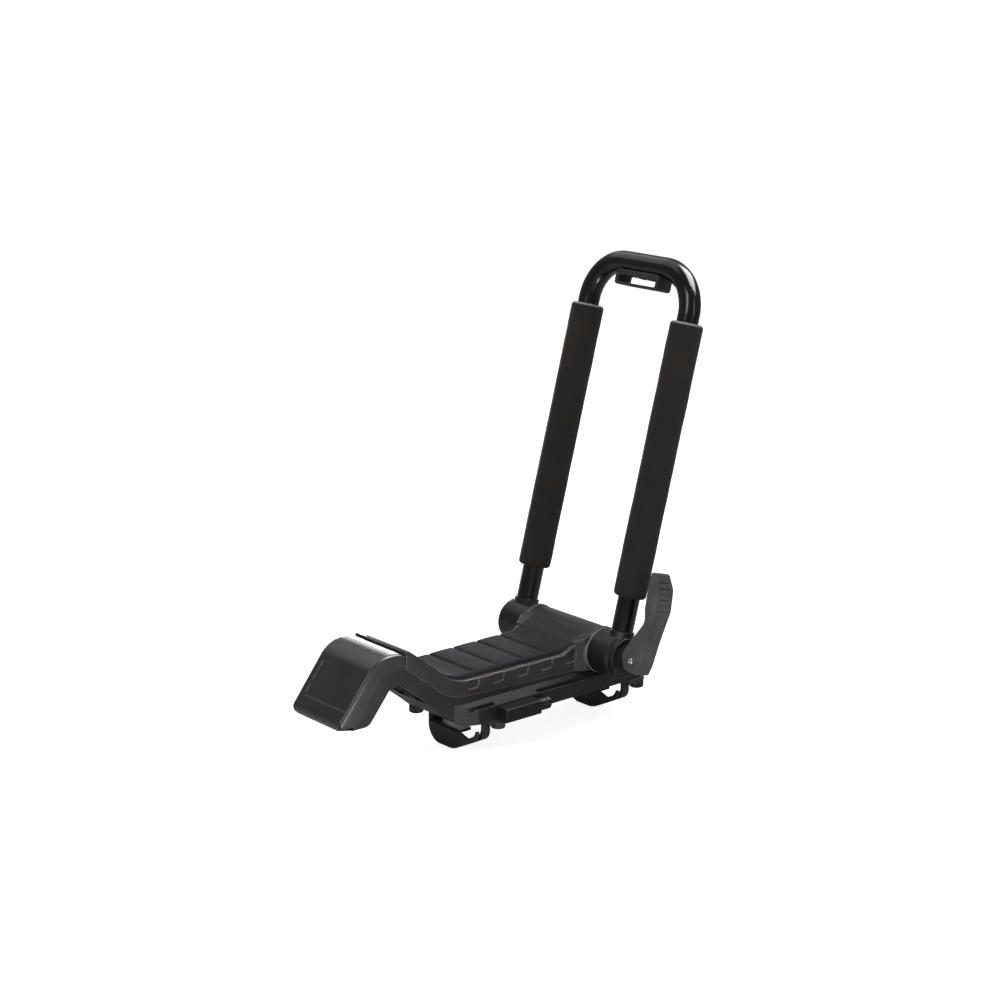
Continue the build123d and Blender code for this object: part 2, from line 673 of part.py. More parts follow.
def lever_side():
    """Side outline of the lever, from the pin."""
    cam, tip_in, tip_out = (CAM_R, CAM_FLAT), (LEVER_TIP_IN, LEVER_TOP), (LEVER_TIP_OUT, LEVER_TOP)
    outline = make_face(
        Polyline((CAM_R, 0), cam, LEVER_THROAT, LEVER_WAIST, LEVER_PALM, tip_in, tip_out, LEVER_SHOULDER,
                 LEVER_GRIP_FOOT, LEVER_BACK, LEVER_HEEL, LEVER_TOE, LEVER_CHIN, close=True)
    )
    outline = rounded(outline, cam, CAM_ROUND)
    outline = rounded(outline, LEVER_WAIST, LEVER_WAIST_ROUND)
    outline = rounded(outline, tip_in, LEVER_TIP_ROUND)
    outline = rounded(outline, tip_out, LEVER_TIP_ROUND)
    outline = rounded(outline, LEVER_CHIN, LEVER_CHIN_ROUND)
    return rounded(outline, LEVER_TOE, LEVER_TOE_ROUND)


def lever_front():
    """Front outline of the lever, widest at the grip."""
    top, low = LEVER_TOP + PROBE, LEVER_TOE[1] - PROBE
    half = [(LEVER_HALF, low), (LEVER_HALF, LEVER_CHEEK_TOP), (LEVER_NECK_HALF, LEVER_NECK),
            (LEVER_GRIP_HALF, LEVER_GRIP_FROM), (LEVER_GRIP_HALF, LEVER_GRIP_TO), (LEVER_TIP_HALF, top)]
    return make_face(Polyline(*half, *[(-x, z) for x, z in reversed(half)], close=True))


def grip_skin(z):
    """Outer side of the grip at a height."""
    points = (LEVER_GRIP_FOOT, LEVER_SHOULDER, (LEVER_TIP_OUT, LEVER_TOP))
    foot, head = points[:2] if z < LEVER_SHOULDER[1] else points[1:]
    return foot[0] + (head[0] - foot[0]) * (z - foot[1]) / (head[1] - foot[1])


def make_lever():
    """Fork ended cam lever with a ridged grip."""
    lever = extrude(Plane.YZ * (Pos(PIN_Y, 0) * lever_side()), LEVER_GRIP_HALF, both=True)
    lever &= extrude(Plane.XZ * lever_front(), -PIN_Y + CUT_REACH, both=True)
    lever -= block((-FORK_HALF, FORK_HALF), (PIN_Y - EYE_R - PROBE, PIN_Y + CAM_R + PROBE),
                   (LEVER_TOE[1] - PROBE, EYE_R + PROBE))
    for i in range(GRIP_GROOVES):
        z = GRIP_FIRST + i * GRIP_PITCH
        groove = Pos(PIN_Y + grip_skin(z), z) * Circle(GRIP_GROOVE_R)
        lever -= extrude(Plane.YZ * groove, GRIP_GROOVE_HALF, both=True)
    return lever - extrude(pin_plane() * Circle(PIN_R), LEVER_GRIP_HALF, both=True)


def make_pin():
    """Lever pin with a round head on the nose side."""
    pin = extrude(pin_plane() * Circle(PIN_R), LEVER_HALF, both=True)
    head = extrude(pin_plane().offset(-LEVER_HALF) * Circle(PIN_HEAD_R), -PIN_HEAD_THICK)
    return pin + fillet(head.edges().sort_by(Axis.X)[0], PIN_HEAD_ROUND)


ear_top = FRAME_BOTTOM - SEAT_GAP
ear_low = ear_top - EAR_THICK
knob_top = ear_low - SEAT_GAP
knob_low = knob_top - KNOB_HEIGHT


def flat(y_range, z_range):
    """A rectangle in the plane across the roof bar."""
    size = [b - a for a, b in (y_range, z_range)]
    return Pos((y_range[0] + y_range[1]) / 2, (z_range[0] + z_range[1]) / 2) * Rectangle(*size)


def jaw_sections():
    """Front plate, web and arm of a jaw, as faces across the roof bar."""
    moon = make_face(Polyline((JAW_FAR_Y, ear_top), (JAW_FAR_Y, JAW_BELLY), (JAW_BELLY_Y, JAW_BELLY),
                              (JAW_NEAR_Y, JAW_ARM_ROOT), (JAW_NEAR_Y, ear_top), close=True))
    moon = rounded(moon, (JAW_FAR_Y, JAW_BELLY), JAW_FAR_ROUND)
    moon = rounded(moon, (JAW_BELLY_Y, JAW_BELLY), JAW_BELLY_ROUND)
    moon = rounded(moon, (JAW_NEAR_Y, JAW_ARM_ROOT), JAW_ARM_ROUND)
    shell = moon - Pos(0, JAW_WALL) * offset(moon, -JAW_WALL)
    dip = JAW_TOP - JAW_DIP
    below = make_face(
        Polyline((JAW_FAR_Y, JAW_TOP), (JAW_SADDLE_Y, JAW_TOP), (JAW_DIP_Y, dip), (JAW_NEAR_Y, dip),
                 (JAW_NEAR_Y, JAW_BELLY), (JAW_FAR_Y, JAW_BELLY), close=True)
    )
    hook = shell & flat((JAW_NEAR_Y, JAW_DIP_Y), (JAW_BELLY, JAW_ARM_ROOT + JAW_HOOK))
    plate = (moon & below) + hook
    web = shell & flat((JAW_WEB_Y, JAW_FAR_Y), (JAW_BELLY, ear_top))
    for y in JAW_RIBS:
        web += moon & flat((y - JAW_WALL / 2, y + JAW_WALL / 2), (JAW_BELLY, JAW_TOP))
    arm = shell & flat((JAW_NEAR_Y, JAW_WEB_Y), (JAW_BELLY, ear_top))
    return plate, web, arm


def make_jaw(jaw_x):
    """Bar clamp jaw: half moon cup with an open back, near arm, far wall and screw ears."""
    plate, web, arm = jaw_sections()
    start = Plane((jaw_x, 0, 0), x_dir=(0, 1, 0), z_dir=(1, 0, 0))
    jaw = extrude(start * plate, JAW_WALL)
    jaw += extrude(start * web, JAW_LENGTH)
    jaw += extrude(start.offset(JAW_ARM_FROM) * arm, JAW_LENGTH - JAW_ARM_FROM)
    near, far = knob_places(jaw_x)
    ear_z = (ear_low, ear_top)
    jaw += block((jaw_x + JAW_ARM_FROM, near[0]), (near[1] - EAR_R, near[1] + EAR_R), ear_z)
    jaw += block((far[0], jaw_x + JAW_LENGTH), (JAW_FAR_Y - JAW_WALL, far[1] + EAR_R), ear_z)
    for x, y in (near, far):
        jaw += post(x, y, EAR_R, *ear_z)
        jaw -= post(x, y, SCREW_R + RUN_FIT, ear_low - PROBE, ear_top + PROBE)
    return jaw


def jaw_liner(jaw_x):
    """Rubber strip on top of a jaw."""
    strip = block((jaw_x + LINER_INSET, jaw_x + JAW_LENGTH - LINER_INSET),
                  (JAW_SADDLE_Y + LINER_INSET, JAW_FAR_Y - JAW_WALL - LINER_INSET),
                  (JAW_TOP, JAW_TOP + LINER_THICK))
    return fillet(strip.edges().filter_by(Axis.Z), LINER_CORNER)


def make_knob(place):
    """Fluted knob under an ear."""
    knob = post(*place, KNOB_R, knob_low, knob_top)
    knob = fillet(knob.edges().filter_by(GeomType.CIRCLE), KNOB_ROUND)
    for i in range(KNOB_FLUTES):
        angle = 2 * math.pi * i / KNOB_FLUTES
        x, y = place[0] + KNOB_R * math.cos(angle), place[1] + KNOB_R * math.sin(angle)
        knob -= post(x, y, KNOB_FLUTE_R, knob_low, knob_top)
    return knob - post(*place, SCREW_R, knob_low + KNOB_END, knob_top)


def make_screw(place):
    """Clamp screw fixed in its knob."""
    return post(*place, SCREW_R, knob_low + KNOB_END, screw_top)


def main():
    """Build every piece and write it."""
    os.makedirs("parts", exist_ok=True)
    pad = make_pad()
    cover = make_cover(pad)
    wide, tall = (-TRAY_HALF - CUT_REACH, TRAY_HALF + CUT_REACH), (deep, high)
    cap_side = block((ahead, SEAM_X - SEAT_GAP / 2), wide, tall)
    deck_side = block((SEAM_X + SEAT_GAP / 2, BARREL_R + CUT_REACH), wide, tall)
    sleeve = tube_between(SLEEVE_OUT_R, -BARREL_HALF, BARREL_HALF)
    pieces = {
        "nose_cap": cut_panel(cover & cap_side),
        "deck_cover": cover & deck_side,
        "base_frame": make_frame(),
        "hull_pad": dress_pad(pad),
        "bar_pad": make_bar_pad(),
        "barrel_sleeve": sleeve - tube_between(AXLE_R + RUN_FIT, -BARREL_HALF, BARREL_HALF),
        "friction_ring_near": ring_on(-1),
        "friction_ring_far": ring_on(1),
        "thread_inserts": make_inserts(),
        "latch_housing": latch_box(),
        "lock_barrel": lock_body(),
    }
    upright = {
        "u_tube": make_tube(),
        "sleeve_near": foam(-1),
        "sleeve_far": foam(1),
        "near_hub": make_near_hub(),
        "far_hub": make_far_hub(),
        "axle_rod": make_axle(),
        "axle_nut": make_nut(),
        "hub_cap": tube_between(CAP_R, FAR_HUB_END - CAP_THICK, FAR_HUB_END),
        "cam_washer": make_washer(),
        "strap_guide": make_guide(),
        "cam_lever": make_lever(),
        "lever_pin": make_pin(),
    }
    for name, shape in upright.items():
        pieces[name] = Rot(0, LEAN, 0) * shape
    for end, jaw_x in (("front", JAW_FRONT_X), ("rear", JAW_REAR_X)):
        pieces[f"{end}_jaw"] = make_jaw(jaw_x)
        pieces[f"{end}_jaw_liner"] = jaw_liner(jaw_x)
        for flank, place in zip(("near", "far"), knob_places(jaw_x)):
            pieces[f"{end}_{flank}_knob"] = make_knob(place)
            pieces[f"{end}_{flank}_screw"] = make_screw(place)
    for name, shape in pieces.items():
        export_step(Pos(HINGE_X, 0, HINGE_Z) * shape, f"parts/{name}.step")


main()
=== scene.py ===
"""Folding kayak cradle for a roof bar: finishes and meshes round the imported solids, in metres with Z up."""

import json
import logging
import math
from dataclasses import dataclass
from enum import Enum
from typing import Callable, Optional, Sequence, Union

import bmesh
import bpy
from mathutils import Matrix, Vector, bvhtree, noise


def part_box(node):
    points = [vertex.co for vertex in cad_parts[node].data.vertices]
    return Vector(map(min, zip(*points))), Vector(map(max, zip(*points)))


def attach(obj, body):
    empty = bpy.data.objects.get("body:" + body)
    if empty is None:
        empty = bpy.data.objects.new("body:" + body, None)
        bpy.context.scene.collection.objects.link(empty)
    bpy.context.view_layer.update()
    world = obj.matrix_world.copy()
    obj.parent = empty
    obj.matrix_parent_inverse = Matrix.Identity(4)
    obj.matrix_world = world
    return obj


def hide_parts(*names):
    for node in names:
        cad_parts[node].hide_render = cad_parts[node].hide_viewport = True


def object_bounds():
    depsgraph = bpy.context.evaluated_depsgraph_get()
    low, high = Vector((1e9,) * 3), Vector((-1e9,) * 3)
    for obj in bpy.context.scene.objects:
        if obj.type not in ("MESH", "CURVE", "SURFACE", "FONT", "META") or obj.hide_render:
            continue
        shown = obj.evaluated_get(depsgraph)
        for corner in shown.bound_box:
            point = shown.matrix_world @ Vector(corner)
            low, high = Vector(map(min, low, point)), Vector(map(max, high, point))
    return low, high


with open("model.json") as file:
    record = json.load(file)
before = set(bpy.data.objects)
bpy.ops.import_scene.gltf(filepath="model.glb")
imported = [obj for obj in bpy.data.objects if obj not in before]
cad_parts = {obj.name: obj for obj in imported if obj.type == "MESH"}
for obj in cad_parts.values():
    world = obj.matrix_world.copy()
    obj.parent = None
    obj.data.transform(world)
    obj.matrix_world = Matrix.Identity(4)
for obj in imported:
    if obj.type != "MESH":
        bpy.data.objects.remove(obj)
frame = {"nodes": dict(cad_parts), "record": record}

LOG = logging.getLogger("cradle")
Colour = tuple[float, float, float]
Value = Union["Socket", float, Sequence[float]]
MM = 0.001
WELD = 1e-6
GRID_DIGITS = 6
CAD_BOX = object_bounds()


class Flank(Enum):
    """Flank of the carrier. The lever is on the near one."""

    NEAR = "near"
    FAR = "far"


class End(Enum):
    """End of the base. The nose is at the front, the hinge at the rear."""

    FRONT = "front"
    REAR = "rear"


class Socket:
    """A shader value. Arithmetic on it adds Math nodes."""

    def __init__(self, graph: "Graph", socket: bpy.types.NodeSocket) -> None:
        """Wrap one output of a node."""
        self.graph = graph
        self.socket = socket

    def math(self, operation: str, first: Value, second: Value) -> "Socket":
        """Result of one Math node on two values."""
        return self.graph.node("ShaderNodeMath", {"operation": operation}, {0: first, 1: second})

    def __add__(self, other: Value) -> "Socket":
        """Sum."""
        return self.math("ADD", self, other)

    def __sub__(self, other: Value) -> "Socket":
        """Difference."""
        return self.math("SUBTRACT", self, other)

    def __rsub__(self, other: Value) -> "Socket":
        """Difference from a number."""
        return self.math("SUBTRACT", other, self)

    def __mul__(self, other: Value) -> "Socket":
        """Product."""
        return self.math("MULTIPLY", self, other)

    __radd__ = __add__
    __rmul__ = __mul__

    def ramp(self, low: float, high: float) -> "Socket":
        """Smooth step from 0 at low to 1 at high."""
        inputs = {"Value": self, "From Min": low, "From Max": high}
        return self.graph.node("ShaderNodeMapRange", {"interpolation_type": "SMOOTHSTEP"}, inputs)


class Graph:
    """The nodes of one material or world."""

    def __init__(self, tree: bpy.types.NodeTree) -> None:
        """Start from an empty tree."""
        self.tree = tree
        self.tree.nodes.clear()

    def node(self, kind: str, settings: dict, inputs: dict, output: Union[int, str] = 0) -> Socket:
        """Add a node.

        Args:
            kind: Blender's type name.
            settings: properties, set first.
            inputs: values or links by socket name or number.
            output: which output to return.

        Returns:
            The chosen output.
        """
        made = self.tree.nodes.new(kind)
        for key, value in settings.items():
            setattr(made, key, value)
        for key, value in inputs.items():
            if isinstance(value, Socket):
                self.tree.links.new(value.socket, made.inputs[key])
            else:
                made.inputs[key].default_value = value
        return Socket(self, made.outputs[output]) if len(made.outputs) else Socket(self, None)

    def seen(self) -> Socket:
        """1 for what the camera looks at, 0 for light that falls on the object."""
        return self.node("ShaderNodeLightPath", {}, {}, "Is Camera Ray")

    def place(self, scale: Sequence[float] = (1.0, 1.0, 1.0)) -> Socket:
        """Object coordinates, stretched by scale."""
        where = self.node("ShaderNodeTexCoord", {}, {}, "Object")
        return self.node("ShaderNodeMapping", {}, {"Vector": where, "Scale": scale})

    def noise(self, where: Socket, scale: float, detail: float = 3.0, rough: float = 0.5) -> Socket:
        """Cloudy noise between 0 and 1."""
        inputs = {"Vector": where, "Scale": scale, "Detail": detail, "Roughness": rough}
        return self.node("ShaderNodeTexNoise", {}, inputs)

    def cells(self, where: Socket, scale: float) -> Socket:
        """Distance to the nearest cell centre."""
        return self.node("ShaderNodeTexVoronoi", {}, {"Vector": where, "Scale": scale})

    def dot(self, first: Value, second: Value) -> Socket:
        """Dot product of two vectors."""
        return self.node("ShaderNodeVectorMath", {"operation": "DOT_PRODUCT"}, {0: first, 1: second}, "Value")

    def mix(self, share: Value, first: Value, second: Value) -> Socket:
        """Blend two colours.

        Args:
            share: how much of the second shows, from 0 to 1.
            first: colour or socket.
            second: colour or socket.

        Returns:
            The blended colour.
        """
        first = first if isinstance(first, Socket) else (*first, 1.0)
        second = second if isinstance(second, Socket) else (*second, 1.0)
        return self.node("ShaderNodeMix", {"data_type": "RGBA"}, {0: share, 6: first, 7: second}, 2)

    def edges(self, radius: float, start: float = 0.01, full: float = 0.22) -> tuple[Socket, Socket]:
        """Broken edges.

        Args:
            radius: radius of the edge in metres.
            start: bend of the normal where the mask starts, as 1 minus its cosine.
            full: bend of the normal where the mask is 1.

        Returns:
            The rounded normal, and a mask that is 1 on the edges.
        """
        rounded = self.node("ShaderNodeBevel", {"samples": 6}, {"Radius": radius})
        flat = self.node("ShaderNodeNewGeometry", {}, {}, "Normal")
        return rounded, (1.0 - self.dot(rounded, flat)).ramp(start, full)

    def bump(self, height: Socket, depth: float, strength: float, normal: Optional[Socket] = None) -> Socket:
        """Bump a surface.

        Args:
            height: pattern between 0 and 1.
            depth: its height in metres.
            strength: how far it shows.
            normal: normal to start from, if not the mesh's own.

        Returns:
            The bumped normal.
        """
        inputs = {"Height": height, "Distance": depth, "Strength": strength}
        if normal is not None:
            inputs["Normal"] = normal
        return self.node("ShaderNodeBump", {}, inputs)

    def surface(self, inputs: dict) -> None:
        """Finish with a Principled surface from values or links by socket name."""
        shader = self.node("ShaderNodeBsdfPrincipled", {}, inputs)
        self.node("ShaderNodeOutputMaterial", {}, {"Surface": shader})


def shade(colour: Colour, factor: float, plus: float = 0.0) -> Colour:
    """A colour made lighter or darker."""
    return tuple(min(1.0, part * factor + plus) for part in colour)


@dataclass(frozen=True)
class MouldedPlastic:
    """Moulded plastic with a fine grain, cloudy tone and rounded edges that are painted lighter, a painted
    highlight.
    """

    name: str
    colour: Colour
    roughness: float = 0.46
    grain: float = 1500.0
    grain_rough: float = 0.12
    depth: float = 0.12 * MM
    relief: float = 0.35
    cloud: float = 0.22
    cloud_scale: float = 28.0
    cloud_rough: float = 0.16
    edge: float = 0.6 * MM
    edge_highlight_lift: float = 6.0
    edge_highlight_share: float = 0.7
    edge_rough: float = 0.06
    shine: float = 0.3

    def draw(self, graph: Graph) -> None:
        """Draw the finish.

        Args:
            graph: empty graph of the material.
        """
        where = graph.place()
        cloud = graph.noise(where, self.cloud_scale, 4.0)
        grain = graph.noise(where, self.grain, 2.0, 0.6)
        rounded, edge = graph.edges(self.edge)
        dark, light = shade(self.colour, 1.0 - self.cloud), shade(self.colour, 1.0 + self.cloud)
        tone = graph.mix(cloud.ramp(0.3, 0.7), dark, light)
        uneven = (cloud - 0.5) * self.cloud_rough + (grain - 0.5) * self.grain_rough
        graph.surface({
            # Base Color: the edges are painted lighter, a painted highlight along them.
            "Base Color": graph.mix(edge * self.edge_highlight_share, tone, shade(self.colour, self.edge_highlight_lift)),
            "Roughness": self.roughness + uneven - edge * self.edge_rough,
            "Normal": graph.bump(grain, self.depth, self.relief, rounded),
            "Specular IOR Level": self.shine,
        })


@dataclass(frozen=True)
class SoftRubber:
    """Soft rubber: fine stipple, dusty tone, painted highlight on the edges, and painted light that may
    lighten it along X.
    """

    name: str
    colour: Colour
    roughness: float = 0.62
    cloud_scale: float = 22.0
    cloud_rough: float = 0.18
    dust_and_highlight_tint: tuple[float, float] = (1.35, 0.004)
    deep: float = 0.8
    stipple: float = 1300.0
    depth: float = 0.16 * MM
    relief: float = 0.4
    edge: float = 0.8 * MM
    edge_highlight_share: float = 0.4
    shine: float = 0.2
    painted_light_span: Optional[tuple[float, float]] = None
    painted_light_colour: Colour = (0.0, 0.0, 0.0)

    def draw(self, graph: Graph) -> None:
        """Draw the finish.

        Args:
            graph: empty graph of the material.
        """
        where = graph.place()
        cloud = graph.noise(where, self.cloud_scale, 5.0)
        stipple = graph.cells(where, self.stipple)
        rounded, edge = graph.edges(self.edge)
        dusty_and_highlight = shade(self.colour, *self.dust_and_highlight_tint)
        tone = graph.mix(cloud.ramp(0.25, 0.75), shade(self.colour, self.deep), dusty_and_highlight)
        # Painted light: towards the rear the colour turns lighter, lifting the steep end that the lamps leave
        # dim.
        if self.painted_light_span:
            along = graph.node("ShaderNodeSeparateXYZ", {}, {"Vector": where}, "X")
            tone = graph.mix(along.ramp(*self.painted_light_span), tone, self.painted_light_colour)
        graph.surface({
            # Base Color: edges painted towards the lighter tone, a painted highlight.
            "Base Color": graph.mix(edge * self.edge_highlight_share, tone, dusty_and_highlight),
            "Roughness": self.roughness + (cloud - 0.5) * self.cloud_rough,
            "Normal": graph.bump(stipple, self.depth, self.relief, rounded),
            "Specular IOR Level": self.shine,
        })


@dataclass(frozen=True)
class FoamSkin:
    """Closed cell foam: matte, faintly mottled, with pores painted darker as shade and a painted highlight on
    the upper end.
    """

    name: str
    colour: Colour
    roughness: float = 0.86
    fine_rough: float = 0.12
    shine: float = 0.15
    sheen: float = 0.1
    sheen_rough: float = 0.4
    patch_scale: float = 16.0
    warm: Colour = (1.22, 1.12, 1.02)
    cool: Colour = (0.82, 0.88, 0.92)
    pore_scale: float = 900.0
    pore_shade: float = 0.5
    fine_scale: float = 2400.0
    fine_share: float = 0.6
    depth: float = 0.22 * MM
    relief: float = 0.45
    up_leg: Sequence[float] = (0.255, 0.0, 0.967)
    rim_highlight_lift: float = 16.0

    def draw(self, graph: Graph) -> None:
        """Draw the finish.

        Args:
            graph: empty graph of the material.
        """
        where = graph.place()
        patch = graph.noise(where, self.patch_scale, 3.0)
        pores = graph.cells(where, self.pore_scale)
        fine = graph.noise(where, self.fine_scale, 2.0)
        cool, warm = (tuple(c * t for c, t in zip(self.colour, tint)) for tint in (self.cool, self.warm))
        tone = graph.mix(patch.ramp(0.3, 0.7), cool, warm)
        # Open pores are painted darker: painted shade in the small hollows.
        open_pore = (1.0 - pores.ramp(0.05, 0.35)) * self.pore_shade
        pored = graph.mix(open_pore, tone, shade(self.colour, self.pore_shade))
        # Painted highlight: faces that look up the leg, at the upper end, are painted lighter.
        rim = graph.dot(graph.node("ShaderNodeTexCoord", {}, {}, "Normal"), self.up_leg).ramp(0.3, 0.75)
        graph.surface({
            "Base Color": graph.mix(rim, pored, shade(self.colour, self.rim_highlight_lift)),
            "Roughness": self.roughness + (fine - 0.5) * self.fine_rough,
            "Normal": graph.bump(pores + fine * self.fine_share, self.depth, self.relief),
            "Specular IOR Level": self.shine,
            "Sheen Weight": self.sheen,
            "Sheen Roughness": self.sheen_rough,
        })


@dataclass(frozen=True)
class GlossCoat:
    """Gloss powder coat with a faint orange peel."""

    name: str
    colour: Colour
    roughness: float = 0.2
    shine: float = 0.26
    peel_scale: float = 420.0
    depth: float = 0.08 * MM
    relief: float = 0.25
    smear_scale: float = 30.0
    smear_rough: float = 0.12
    smeared: tuple[float, float] = (1.8, 0.002)
    coat: float = 0.06
    coat_spread: float = 0.1
    coat_rough: float = 0.08

    def draw(self, graph: Graph) -> None:
        """Draw the finish.

        Args:
            graph: empty graph of the material.
        """
        where = graph.place()
        peel = graph.noise(where, self.peel_scale, 2.0)
        smear = graph.noise(where, self.smear_scale, 4.0)
        graph.surface({
            "Base Color": graph.mix(smear.ramp(0.35, 0.75), self.colour, shade(self.colour, *self.smeared)),
            "Roughness": self.roughness + (smear - 0.5) * self.smear_rough,
            "Normal": graph.bump(peel, self.depth, self.relief),
            "Coat Weight": self.coat + smear * self.coat_spread,
            "Coat Roughness": self.coat_rough,
            "Specular IOR Level": self.shine,
        })


@dataclass(frozen=True)
class PlatedMetal:
    """Plated metal with fine turning lines."""

    name: str
    colour: Colour
    roughness: float = 0.3
    lines: Sequence[float] = (300.0, 4000.0, 300.0)
    line_rough: float = 0.24
    depth: float = 0.05 * MM
    relief: float = 0.3
    cloud_scale: float = 60.0
    dull: float = 0.72
    edge: float = 0.3 * MM
    edge_rough: float = 0.05

    def draw(self, graph: Graph) -> None:
        """Draw the finish.

        Args:
            graph: empty graph of the material.
        """
        brushed = graph.noise(graph.place(self.lines), 1.0, 3.0)
        cloud = graph.noise(graph.place(), self.cloud_scale, 3.0)
        rounded, edge = graph.edges(self.edge)
        graph.surface({
            "Base Color": graph.mix(cloud.ramp(0.3, 0.75), self.colour, shade(self.colour, self.dull)),
            "Metallic": 1.0,
            "Roughness": self.roughness + (brushed - 0.5) * self.line_rough - edge * self.edge_rough,
            "Normal": graph.bump(brushed, self.depth, self.relief, rounded),
        })


class Finishes:
    """Every finish of the carrier, built once."""

    def __init__(self) -> None:
        """Build the materials by name."""
        kinds = (
            MouldedPlastic("nose_satin", (0.0180, 0.0164, 0.0162), roughness=0.31, grain=2400.0,
                           depth=0.03 * MM, cloud=0.1, shine=0.36),
            # shell_grain, frame_grain and latch_grain paint their edges and narrow grooves much lighter:
            # painted highlights.
            MouldedPlastic("shell_grain", (0.0245, 0.0222, 0.0220), edge=0.8 * MM, edge_highlight_lift=30.0,
                           shine=0.22),
            MouldedPlastic("hub_satin", (0.0105, 0.0098, 0.0096), roughness=0.40, grain=2000.0, shine=0.22),
            MouldedPlastic("frame_grain", (0.0160, 0.0145, 0.0142), roughness=0.52, edge_highlight_lift=16.0,
                           shine=0.15),
            MouldedPlastic("clamp_grain", (0.0195, 0.0183, 0.0176), roughness=0.50, shine=0.3),
            MouldedPlastic("latch_grain", (0.0090, 0.0087, 0.0087), roughness=0.48, edge_highlight_lift=24.0,
                           shine=0.13),
            MouldedPlastic("lever_grey", (0.0900, 0.0900, 0.0915), roughness=0.56, edge_highlight_lift=1.5, shine=0.07),
            MouldedPlastic("knob_black", (0.0110, 0.0104, 0.0100), roughness=0.45),
            MouldedPlastic("lock_gloss", (0.0090, 0.0088, 0.0086), roughness=0.34, depth=0.06 * MM,
                           shine=0.16),
            # Pale rings between barrel and hubs; their pale tone is partly a painted highlight on the collar
            # edges.
            MouldedPlastic("nylon_ring_highlight", (0.2400, 0.2320, 0.2200), roughness=0.42, cloud=0.12, edge_highlight_lift=1.2),
            # pad_rubber is painted lighter towards the rear: painted light on its dim steep end.
            SoftRubber("pad_rubber", (0.0215, 0.0215, 0.0250), roughness=0.86, shine=0.05,
                       painted_light_span=(-4.0 * MM, 30.0 * MM), painted_light_colour=(0.0400, 0.0375, 0.0375)),
            SoftRubber("grip_rubber", (0.0060, 0.0058, 0.0057), roughness=0.74),
            FoamSkin("foam_skin", (0.0176, 0.0158, 0.0149), shine=0.12),
            GlossCoat("tube_gloss", (0.0032, 0.0031, 0.0030), shine=0.2),
            PlatedMetal("zinc_plate", (0.72, 0.72, 0.70)),
            PlatedMetal("dark_steel", (0.16, 0.16, 0.165), roughness=0.38),
            PlatedMetal("plain_brass", (0.62, 0.46, 0.20), roughness=0.36),
        )
        self.made = {}
        for kind in kinds:
            material = bpy.data.materials.new(kind.name)
            material.use_nodes = True
            kind.draw(Graph(material.node_tree))
            self.made[kind.name] = material

    def __getitem__(self, name: str) -> bpy.types.Material:
        """A material by its name."""
        return self.made[name]


def tilt_of(move: Callable[[Vector], Vector], point: Vector, step: float = 0.02 * MM) -> Matrix:
    """How a move turns the normals at a point.

    Args:
        move: gives a point's new place.
        point: where the move is looked at.
        step: distance to the neighbours that are compared.

    Returns:
        Matrix that turns a normal. Its length is left to the caller.
    """
    start = move(point)
    columns = [(move(point + axis * step) - start) / step for axis in Matrix.Identity(3)]
    return Matrix(columns).inverted()


class Bench:
    """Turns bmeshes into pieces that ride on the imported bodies."""

    def __init__(self, finishes: Finishes) -> None:
        """Read nodes, bodies and slots from the frame.

        Args:
            finishes: the materials by name.
        """
        self.finishes = finishes
        record = frame["record"]
        self.slots = {part["node"]: part["material_slot"] for part in record["subparts"]}
        self.bodies = {n: b for b, nodes in record["behaviour"]["bodies"].items() for n in nodes}

    def piece(self, name: str, mesh: bmesh.types.BMesh, finish: str, like: str, replace: bool = True,
              smooth_deg: float = 35.0) -> bpy.types.Object:
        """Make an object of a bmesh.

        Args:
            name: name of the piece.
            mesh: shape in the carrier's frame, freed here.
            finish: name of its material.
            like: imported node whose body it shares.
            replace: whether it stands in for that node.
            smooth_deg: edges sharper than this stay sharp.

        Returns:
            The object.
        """
        bmesh.ops.recalc_face_normals(mesh, faces=mesh.faces)
        for face in mesh.faces:
            face.smooth = True
        data = bpy.data.meshes.new(name)
        mesh.to_mesh(data)
        mesh.free()
        data.set_sharp_from_angle(angle=math.radians(smooth_deg))
        data.materials.append(self.finishes[finish])
        made = bpy.data.objects.new(name, data)
        bpy.context.scene.collection.objects.link(made)
        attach(made, self.bodies[like])
        if replace:
            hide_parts(like)
        LOG.info("%s: %d faces on %s", name, len(data.polygons), self.bodies[like])
        return made

    def reshape(self, name: str, node: str, finish: str, move: Callable[[Vector], Vector]) -> None:
        """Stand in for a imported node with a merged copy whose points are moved.

        Args:
            name: name of the piece.
            node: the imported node.
            finish: name of its material.
            move: gives a point's new place. The shading follows it.
        """
        data = frame["nodes"][node].data.copy()
        normals = [corner.vector.copy() for corner in data.corner_normals]
        tilts = [tilt_of(move, vert.co) for vert in data.vertices]
        shading = data.attributes.new("shading", "FLOAT_VECTOR", "CORNER")
        for loop, normal in zip(data.loops, normals):
            shading.data[loop.index].vector = (tilts[loop.vertex_index] @ normal).normalized()
        mesh = bmesh.new()
        mesh.from_mesh(data)
        for vert in mesh.verts:
            vert.co = move(vert.co)
        bmesh.ops.remove_doubles(mesh, verts=mesh.verts, dist=WELD)
        made = self.piece(name, mesh, finish, node)
        made.data.normals_split_custom_set([item.vector for item in made.data.attributes["shading"].data])

    def paint(self, finish: str, *nodes: str) -> None:
        """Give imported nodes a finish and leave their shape.

        Args:
            finish: name of the material.
            nodes: names of the nodes.
        """
        for node in nodes:
            data = frame["nodes"][node].data
            data.materials.clear()
            data.materials.append(self.finishes[finish])
            LOG.info("%s: painted %s", node, finish)


